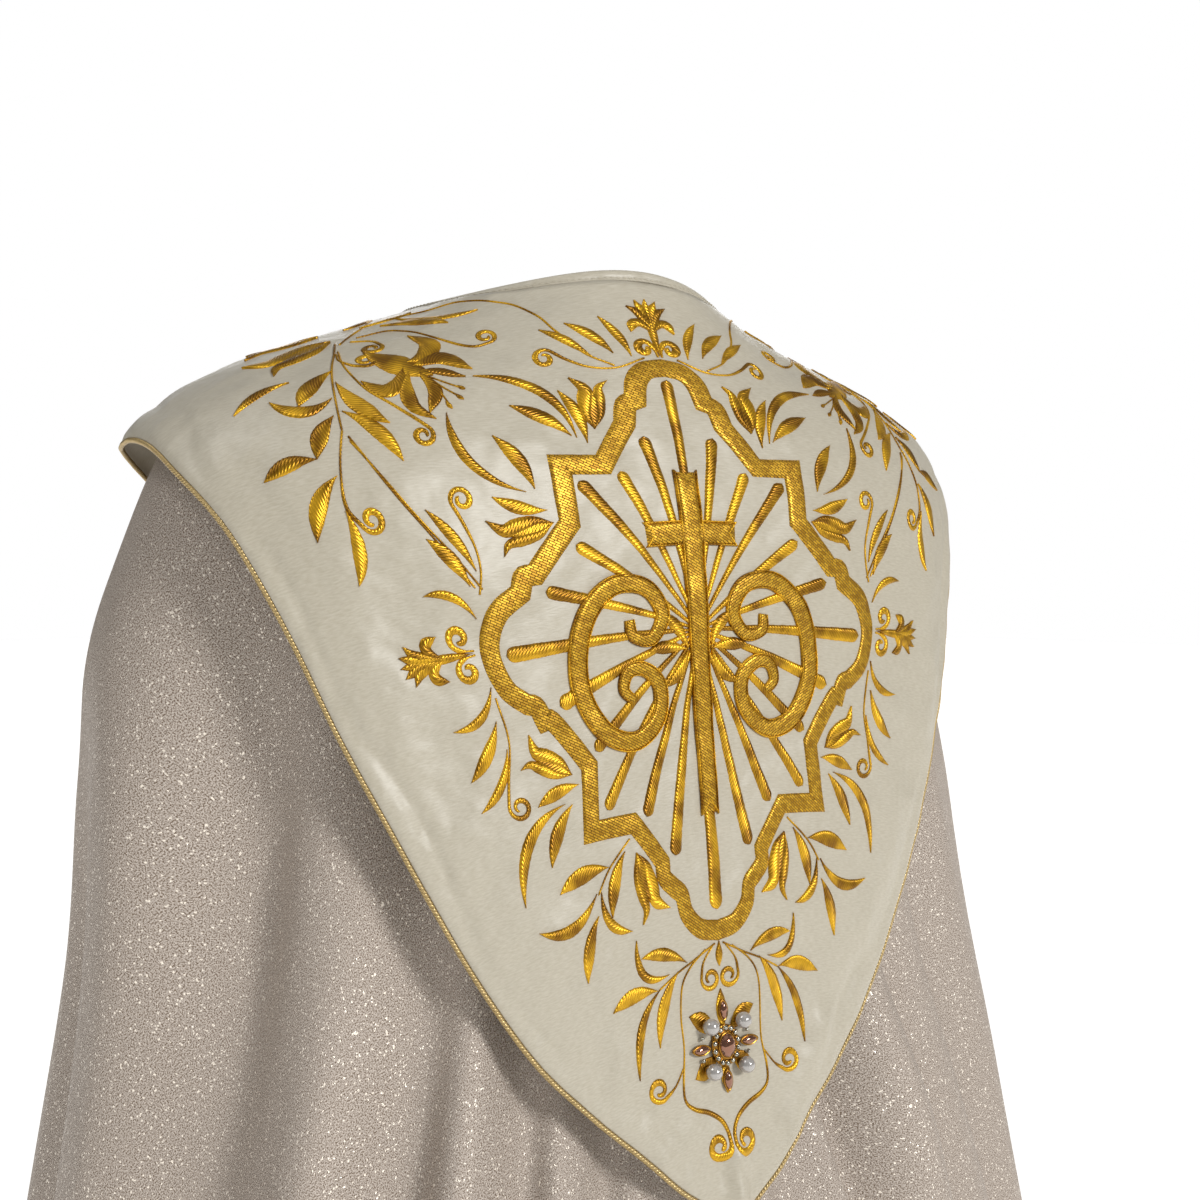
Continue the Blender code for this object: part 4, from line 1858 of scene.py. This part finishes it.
# The spray over each shoulder, from the lily in towards the neck and out to the hood's edge.
SHOULDER_SPRAYS = (
    Leaf(126, 33, 97, 57, 13.0, 0.06),
    Petal(((108, 48), (98, 41), (95, 31), (104, 21)), 9.5),
    Petal(((106, 51), (92, 44), (79, 53)), 9.0),
    Petal(((104, 54), (94, 54), (83, 58)), 5.0),
    Petal(((104, 53), (98, 66), (103, 79)), 6.0),
    Petal(((107, 53), (110, 64), (109, 75), (101, 82)), 6.5),
    Petal(((109, 50), (113, 61), (120, 65), (129, 58)), 8.0),
    Curl(((99, 58), (92, 62), (87, 65)), 0.9),
    Curl(((99, 59), (94, 65), (89, 70)), 0.9),
    Curl(((100, 60), (96, 68), (94, 74)), 0.9),
    Leaf(88, 64, 85, 66, 2.2),
    Leaf(90, 69, 87, 72, 2.2),
    Leaf(95, 73, 93, 77, 2.2),
    Curl(((131, 16), (121, 20), (117, 27)), 3.0, 5.0),
    Curl(((138, 30), (137, 38), (132, 44), (127, 46)), 3.2, -5.5),
    Curl(((128, 10), (115, 7), (105, 12), (95, 22), (85, 32), (75, 37), (67, 35)), 2.6, -5.0),
    Leaf(116, -5, 83, 14, 9.0, -0.08),
    Leaf(108, -14, 67, 6, 6.0, 0.18),
    Leaf(126, -12, 100, -26, 6.5, 0.08),
    Leaf(134, -16, 122, -40, 6.0, 0.1),
    Bud(140, 12, 172, 36, 1),
    Bud(146, -8, 182, -4, -1),
    Curl(((138, 16), (139, 30), (141, 50), (142, 85)), 2.0),
    Curl(((136, 18), (130, 2), (124, -14), (120, -34)), 1.8),
    Leaf(141, 48, 158, 70, 8.0, 0.08),
    Leaf(140, 57, 121, 83, 8.0, 0.08),
    Leaf(143, 67, 170, 64, 6.0, -0.28),
    Leaf(140, 75, 120, 101, 7.0, -0.1),
    Leaf(144, 77, 156, 96, 7.0, 0.08),
    Curl(((142, 85), (148, 103), (151, 117), (147, 126)), 3.0, -5.5),
    Curl(((137, 27), (135, 45), (128, 62), (116, 75), (105, 86)), 2.6, 5.0),
    Curl(((140, 88), (128, 115), (118, 135), (108, 157)), 1.3),
    Leaf(150, 104, 170, 128, 7.0, 0.1),
    Leaf(156, 96, 182, 100, 6.0, 0.08),
    Leaf(152, 118, 160, 148, 6.0, -0.1),
    Leaf(160, 52, 186, 66, 5.0, 0.1),
)


@dataclass
class Sprays:
    """The leafy embroidery: stems, leaves, curls, tulip buds and fan flowers."""

    hood: Hood
    vine_start: float = math.radians(66)
    vine_step: float = math.radians(6.5)
    vine_reach: tuple[float, float] = (84.0, 17.0)  # middle and swing of the front vine's stem

    def drawn(self, name: str, rows: tuple, seed: int) -> Stitching:
        """Draws each row of a table by its kind.

        Args:
            name: The piece's name.
            rows: Leaves, curls, buds, petals and flowers.
            seed: Sets the unevenness of the thread.

        Returns:
            The stitching, not yet built.
        """
        piece = Stitching(name, self.hood, seed)
        for row in rows:
            if isinstance(row, Leaf):
                piece.leaf(row)
            elif isinstance(row, Curl):
                piece.curl(row)
            elif isinstance(row, Bud):
                piece.bud(row)
            elif isinstance(row, Petal):
                piece.petal(row.line, row.width)
            else:
                self.flower(piece, row)
        return piece

    def flower(self, piece: Stitching, row: Flower) -> None:
        """A fan flower: two curls and two drooping petals on a stem under a fan of petals.

        Args:
            piece: The stitching to add it to.
            row: The flower.
        """
        angle = math.radians(row.angle)
        ahead = np.array([math.cos(angle), math.sin(angle)])
        left = np.array([ahead[1], -ahead[0]]) * 0.8
        start = np.array([row.x, row.y])
        central = abs(row.x) < 0.01

        def at(points: tuple, sign: int = 1) -> tuple:
            """Points of the flower, as mm ahead of its stem's start and to one side."""
            placed = [start + row.size * (ahead * a + left * b * sign) for a, b in points]
            return tuple((float(p[0]), float(p[1])) for p in placed)

        piece.petal(at(((2, 0), (16, 0), (32, 0))), 4.2 * row.size, mirror=not central)
        piece.petal(at(((22, 0), (32, 0), (41, 0))), 4.0 * row.size, mirror=not central)
        for sign in (1,) if central else (1, -1):
            for tip, bow in (((36, 11.5), (31, 4.5)), ((40, 6.0), (32, 2.4))):
                piece.petal(at(((20, 0.6), bow, tip), sign), 5.2 * row.size, 1.0)
            droop = at(((18, 0.6), (24, 5), (24, 10), (18, 13)), sign)
            piece.petal(droop, 5.6 * row.size, 1.1)
            stalk = at(((1, 1.2), (6, 2.0), (9, 3.4)), sign)
            piece.curl(Curl(stalk, 3.6, 5.4 * sign * row.size, 1.05))

    def vine(self, piece: Stitching) -> None:
        """The vine down each front: its stem swings between the neck and the hood's edge, and
        leaves, curls and buds stand on it in turn.

        Args:
            piece: The stitching to add it to.
        """
        form = self.hood.form
        last = float(form.turn[-1]) - math.radians(5)
        middle, swing = self.vine_reach
        radius = form.flat_radius / MM

        def at(turn: np.ndarray, reach: np.ndarray) -> np.ndarray:
            """Flat points from a turn about the neck's centre and a reach."""
            away = radius + reach
            return np.stack([away * np.sin(turn), away * np.cos(turn) - radius], -1)

        def stem(turn: np.ndarray) -> np.ndarray:
            """The reach of the stem."""
            steps = (turn - self.vine_start) / self.vine_step
            return middle + swing * np.cos(steps * math.pi / 2)

        turns = np.arange(self.vine_start, last, math.radians(0.8))
        piece.stroke(evenly(at(turns, stem(turns)), 0.9), 0.8, 0.8, across=7)
        for k, turn in enumerate(np.arange(self.vine_start, last - 0.06, self.vine_step)):
            side = 1 if k % 2 else -1
            foot, low = at(turn, stem(turn)), stem(turn)
            tip = at(turn + 0.13, low + 30 * side)
            piece.leaf(Leaf(*foot, *tip, 8.0, 0.08 * side))
            tip = at(turn + 0.02, low + 25 * side)
            piece.leaf(Leaf(*foot, *tip, 6.5, -0.06 * side))
            far = at(turn + 0.1, low - 22 * side)
            near = at(turn + 0.03, low - 12 * side)
            ends = tuple((float(p[0]), float(p[1])) for p in (foot, near, far))
            piece.curl(Curl(ends, 2.8, 5.0 * side))

    def build(self, thread: Material) -> list[Object]:
        """Builds the sprays round the medallion, over the shoulders and down the fronts.

        Args:
            thread: The embroidery's finish.

        Returns:
            Four pieces.
        """
        main_spray = self.drawn("medallion_sprays", MEDALLION_SPRAYS, 101)
        self.flower(main_spray, Flower(0, 53, -90, 0.85))
        main_spray.leaf(Leaf(0, 340, 0, 352, 5.0), mirror=False)
        shoulder = self.drawn("shoulder_sprays", SHOULDER_SPRAYS, 201)
        front = Stitching("front_vine", self.hood, 301)
        self.vine(front)
        star = Stitching("star_leaves", self.hood, 401)
        for row in (Leaf(5, 384, 25, 373, 9.0, 0.04), Leaf(5, 394, 24, 403, 9.0, -0.04)):
            star.leaf(row, 0.8)
        for row in (Leaf(0, 384, 0, 363, 8.0), Leaf(0, 394, 0, 413, 7.0)):
            star.leaf(row, 0.8, mirror=False)
        return [piece.build(thread) for piece in (main_spray, shoulder, front, star)]


# ---- Brooch ----


@dataclass
class Jewels:
    """Turned and cut shapes of one material, gathered in the brooch's own frame in mm."""

    frame: Matrix
    points: list[np.ndarray] = field(default_factory=list)
    faces: list[np.ndarray] = field(default_factory=list)
    count: int = 0

    def add(
        self,
        profile: np.ndarray | Profile,
        size: tuple[float, float],
        at: tuple[float, float, float],
        sides: int = 24,
        turn: float = 0.0,
        pointed: float = 1.0,
    ) -> None:
        """Adds a shape whose level rings follow a profile.

        Args:
            profile: Rows of (share of the size, height in mm), from the bottom up.
            size: Width and height of the shape's outline at a share of one.
            at: Where its middle and base are.
            sides: Corners of each ring.
            turn: Turn of the outline in radians.
            pointed: The power of the outline's sine. Above one, its two ends are sharp.
        """
        profile = np.asarray(profile, float)
        angle = np.linspace(0, 2 * math.pi, sides, endpoint=False) + math.pi / 2
        wide = np.cos(angle)
        wide = np.sign(wide) * np.abs(wide) ** pointed * size[0] / 2
        tall = np.sin(angle) * size[1] / 2
        x = wide * math.cos(turn) - tall * math.sin(turn)
        y = wide * math.sin(turn) + tall * math.cos(turn)
        ring = np.stack([x, y], axis=-1)[None] * profile[:, :1, None]
        level = np.broadcast_to(profile[:, 1, None, None], (*ring.shape[:2], 1))
        self.points.append((np.concatenate([ring, level], -1) + np.array(at)).reshape(-1, 3))
        self.faces += [f + self.count for f in tube_faces(len(profile), sides, closed=False)]
        self.count += len(profile) * sides

    def build(self, name: str, material: Material, flat: bool) -> Object:
        """Places the shapes on the hood and makes the piece.

        Args:
            name: The piece's name.
            material: Its finish.
            flat: Whether facets stay flat.

        Returns:
            The piece.
        """
        points = np.concatenate(self.points) * MM
        turned = points @ np.array(self.frame.to_3x3()).T + np.array(self.frame.translation)
        return make_object(name, turned, joined_faces(self.faces), material, flat=flat)


@dataclass
class Brooch:
    """A gilt brooch: an oval stone in a ring of clear ones, four pearls and four navettes."""

    hood: Hood
    reach: float = 390 * MM
    clearance: float = 0.6
    plate: tuple[float, float] = (15.8, 19.8)
    stone: tuple[float, float] = (8.8, 11.8)
    ring: tuple[float, float] = (13.8, 16.8)
    ring_stones: int = 14
    pearl: float = 8.0
    pearl_place: tuple[float, float] = (9.6, 10.6)
    navette: tuple[float, float] = (4.4, 9.0)
    navette_place: tuple[tuple[float, float], ...] = ((0, 16.6), (14, 0), (0, -16.6), (-14, 0))
    seat: float = 1.5  # height of the stones above the plate's base
    ring_stone_size: float = 2.7
    ring_seat: float = 3.2
    chip_size: float = 2.2
    chip_place: tuple[float, float] = (13.2, 5.2)

    # Profiles of the gilt parts, in rows of (share of the stone's size, height).
    rim: Profile = ((0.9, 0), (1.0, 0.2), (1.0, 1.0), (0.94, 1.3), (0.02, 1.4))
    collar: Profile = ((0.96, 0), (1.1, 0.0), (1.12, 0.9), (1.04, 1.3), (0.98, 1.2))
    ring_cup: Profile = ((0.9, 0), (1.0, 0.1), (1.0, 0.7), (0.86, 0.8))
    pearl_cup: Profile = ((0.5, 0), (0.62, 0.2), (0.86, 1.4), (0.8, 1.5))
    navette_cup: Profile = ((0.9, 0), (1.16, 0.2), (1.2, 1.5), (1.04, 1.7), (0.98, 1.4))

    def frame(self) -> Matrix:
        """The brooch's place: X to the wearer's right, Y up the cloth and Z outwards.

        Returns:
            The turn and the place.
        """
        bearing, reach = np.array(0.0), np.array(self.reach)
        origin = Vector(self.hood.face(bearing, reach, 0.0))
        base = self.hood.form.lifted(bearing, reach, np.array(0.0))
        normal = Vector(self.hood.form.lifted(bearing, reach, np.array(0.1)) - base).normalized()
        right = Vector((-1, 0, 0))
        axes = Matrix((right, normal.cross(right), normal)).transposed()
        return Matrix.Translation(origin) @ axes.to_4x4()

    def cut(self, height: float, start: float = 0.0) -> np.ndarray:
        """The profile of a cut stone: a girdle, a sloping crown and a level table.

        Args:
            height: How tall the stone is, in mm.
            start: The height of its base, in mm.

        Returns:
            Rows of (share of the size, height in mm).
        """
        rows = [(0.8, 0), (1.0, 0.22), (1.0, 0.34), (0.82, 0.74), (0.52, 1.0), (0.02, 1.0)]
        return np.array([(share, start + height * level) for share, level in rows])

    def build(self, finishes: dict[str, Material]) -> None:
        """Builds the setting, the stones and the pearls.

        Args:
            finishes: The materials of the gilt, peach, clear and pearl parts.
        """
        frame = self.frame()
        gilt, centre, clear, navettes, pearls = (Jewels(frame) for _ in range(5))
        low = self.clearance
        seat = low + self.seat
        gilt.add(self.rim, self.plate, (0, 0, low), 40)
        centre.add(self.cut(3.6), self.stone, (0, 0, seat), 10)
        gilt.add(self.collar, self.stone, (0, 0, seat - 0.1), 40)
        for k in range(self.ring_stones):
            angle = 2 * math.pi * (k + 0.5) / self.ring_stones
            x = self.ring[0] / 2 * math.cos(angle)
            y = self.ring[1] / 2 * math.sin(angle)
            clear.add(self.cut(1.5), (self.ring_stone_size,) * 2, (x, y, seat - 0.1), 8, turn=angle)
            gilt.add(self.ring_cup, (self.ring_seat,) * 2, (x, y, seat - 0.4), 12)
        x, y = self.pearl_place
        for up in (1, -1):
            for side in (1, -1):
                self.ball(pearls, (side * x, up * y, low + self.pearl / 2))
                gilt.add(self.pearl_cup, (self.pearl,) * 2, (side * x, up * y, low - 0.1), 24)
        for x, y in self.navette_place:
            turn = math.pi / 2 if x else 0.0
            navettes.add(self.cut(2.0), self.navette, (x, y, low + 0.8), 12, turn, pointed=1.5)
            gilt.add(self.navette_cup, self.navette, (x, y, low), 32, turn, pointed=1.4)
        x, y = self.chip_place
        for side in (1, -1):
            for up in (1, -1):
                clear.add(self.cut(1.4), (self.chip_size,) * 2, (side * x, up * y, low + 0.5), 8)
        sides = ("upper", "right", "lower", "left")
        corners = ("upper_right", "upper_left", "lower_right", "lower_left")
        for jewels, name, finish, slot, nodes in (
            (gilt, "brooch_setting", "gilt", "gilt", ["brooch_plate"]),
            (centre, "brooch_centre", "peach", "crystal", ["brooch_stone"]),
            (clear, "brooch_rhinestones", "clear", "crystal", ["brooch_ring"]),
            (navettes, "brooch_navettes", "peach", "crystal", [f"brooch_navette_{k}" for k in sides]),
            (pearls, "brooch_pearls", "pearl", "pearl", [f"brooch_pearl_{k}" for k in corners]),
        ):
            wear(jewels.build(name, finishes[finish], flat=slot == "crystal"), slot, *nodes)

    def ball(self, pearls: Jewels, at: tuple[float, float, float]) -> None:
        """A pearl: a sine profile gives a round ball.

        Args:
            pearls: The shapes to add it to.
            at: The pearl's middle, in mm.
        """
        up = np.linspace(-math.pi / 2, math.pi / 2, 25)
        profile = np.stack([np.maximum(np.cos(up), 0.01), self.pearl / 2 * np.sin(up)], axis=1)
        pearls.add(profile, (self.pearl, self.pearl), at, 36)


# ---- Studio ----


@dataclass(frozen=True)
class Viewpoint:
    """The camera's place, what it looks along, its own up and its lens."""

    place: tuple[float, float, float] = (0.4037, 0.7070, -0.1187)
    ahead: tuple[float, float, float] = (-0.5176, -0.8530, -0.0668)
    up: tuple[float, float, float] = (-0.0312, -0.0592, 0.9978)
    lens: float = 43.33

    def axes(self) -> Matrix:
        """The camera's turn, whose columns are its right, its up and its back.

        Returns:
            A matrix of three columns.
        """
        back = -Vector(self.ahead).normalized()
        right = Vector(self.up).cross(back).normalized()
        return Matrix((right, back.cross(right), back)).transposed()

    def build(self) -> None:
        """Makes the camera and sets it as the scene's."""
        data = bpy.data.cameras.new("camera")
        data.lens = self.lens
        data.clip_start = 0.01
        camera = bpy.data.objects.new("camera", data)
        camera.matrix_world = Matrix.Translation(self.place) @ self.axes().to_4x4()
        bpy.context.scene.collection.objects.link(camera)
        bpy.context.scene.camera = camera


class Lamp(NamedTuple):
    """A broad, far light: where it comes from in the camera's axes, its strength and spread."""

    name: str
    right: float
    up: float
    back: float
    strength: float
    spread: float


@dataclass
class Studio:
    """A pale floor under a white sky, with a soft key light from behind the camera's right."""

    viewpoint: Viewpoint
    floor_height: float = -1.45
    floor_radius: float = 14.0
    floor_sides: int = 96
    floor_colour: str = "#F4F3F1"
    sky: str = "#FFFFFF"
    ambient: float = 0.16
    floor_glow: float = 0.5
    lamps: tuple[Lamp, ...] = (
        Lamp("key", 0.75, 0.4, 0.65, 2.05, 14),
        Lamp("side", -0.6, 0.9, 0.4, 0.6, 24),
        Lamp("fill", 0.0, 1.0, 0.3, 0.3, 60),
        Lamp("front", 0.0, 0.3, -1.0, 1.0, 40),
    )

    def build(self) -> None:
        """Builds the floor, sky and lamps."""
        turn = np.linspace(0, 2 * math.pi, self.floor_sides, endpoint=False)
        rim = np.stack([np.cos(turn), np.sin(turn)], axis=-1) * self.floor_radius
        level = np.full((self.floor_sides, 1), self.floor_height)
        points = np.concatenate([rim, level], axis=-1)
        paint = Finish("Paint, matt, white", self.floor_colour, 0.9).material()
        shader = paint.node_tree.nodes["Principled BSDF"]
        shader.inputs["Emission Color"].default_value = linear(self.floor_colour)
        shader.inputs["Emission Strength"].default_value = self.floor_glow
        make_object("floor", points, [np.arange(self.floor_sides)[None]], paint)
        world = bpy.data.worlds.new("sky")
        world.use_nodes = True
        background = world.node_tree.nodes["Background"]
        background.inputs["Color"].default_value = linear(self.sky)
        path = add_node(world.node_tree, "LightPath")
        strength = add_node(
            world.node_tree,
            "MapRange",
            {"Value": path.outputs["Is Camera Ray"], "To Min": self.ambient, "To Max": 1.0},
        )
        world.node_tree.links.new(strength.outputs[0], background.inputs["Strength"])
        bpy.context.scene.world = world
        bpy.context.scene.view_settings.view_transform = "Standard"
        for lamp in self.lamps:
            self.light(lamp)

    def light(self, lamp: Lamp) -> None:
        """Adds one lamp, turned towards the garment.

        Args:
            lamp: The lamp.
        """
        data = bpy.data.lights.new(lamp.name, "SUN")
        data.energy = lamp.strength
        data.angle = math.radians(lamp.spread)
        made = bpy.data.objects.new(lamp.name, data)
        towards = self.viewpoint.axes() @ Vector((lamp.right, lamp.up, lamp.back))
        made.matrix_world = towards.to_track_quat("Z", "Y").to_matrix().to_4x4()
        bpy.context.scene.collection.objects.link(made)


# ---- Whole garment ----


def dress_cloth(form: DrapedForm) -> Hood:
    """Builds the mantle, hood, binding, cord and tab.

    Args:
        form: The draped form.

    Returns:
        The hood, which the embroidery lies on.
    """
    satin = DuchesseSatin().material()
    mantle = wear(Mantle(form).build(GlitterCrepe().material()), "mantle_cloth", "mantle")
    hood = Hood(form)
    cloth = wear(hood.build(satin), "hood_satin", "hood")
    cord = wear(EdgeCord(hood).build(LurexCord().material()), "edge_cord", "hood_cord")
    binding = NeckBinding(form)
    strip = wear(binding.build(satin), "hood_satin", "neck_band")
    wear(binding.stitches(STITCH.material()), "hood_satin")
    tab = wear(FrontTab(hood).build(satin), "hood_satin", "front_tab")
    return hood


def embroider(hood: Hood) -> None:
    """Works all the stitching on the hood.

    Args:
        hood: The hood that it lies on.
    """
    thread, fill = GoldThread().material(), GoldFill().material()
    medallion = Medallion(hood)
    pieces = [
        medallion.band(fill),
        medallion.sunburst(thread),
        medallion.cross(fill),
        medallion.scrollwork(fill),
        medallion.edging(thread),
        *Sprays(hood).build(thread),
    ]
    for piece in pieces:
        wear(piece, "embroidery")


def main() -> None:
    """Builds every piece in order and reports it."""
    logging.basicConfig(level=logging.INFO, format="%(name)s: %(message)s")
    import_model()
    viewpoint = Viewpoint()
    viewpoint.build()
    hood = dress_cloth(DrapedForm())
    embroider(hood)
    finishes = {
        "gilt": GILT.material(),
        "peach": PEACH_CRYSTAL.material(),
        "clear": CLEAR_CRYSTAL.material(),
        "pearl": PEARL.material(),
    }
    Brooch(hood).build(finishes)
    Studio(viewpoint).build()


if __name__ == "__main__":
    main()
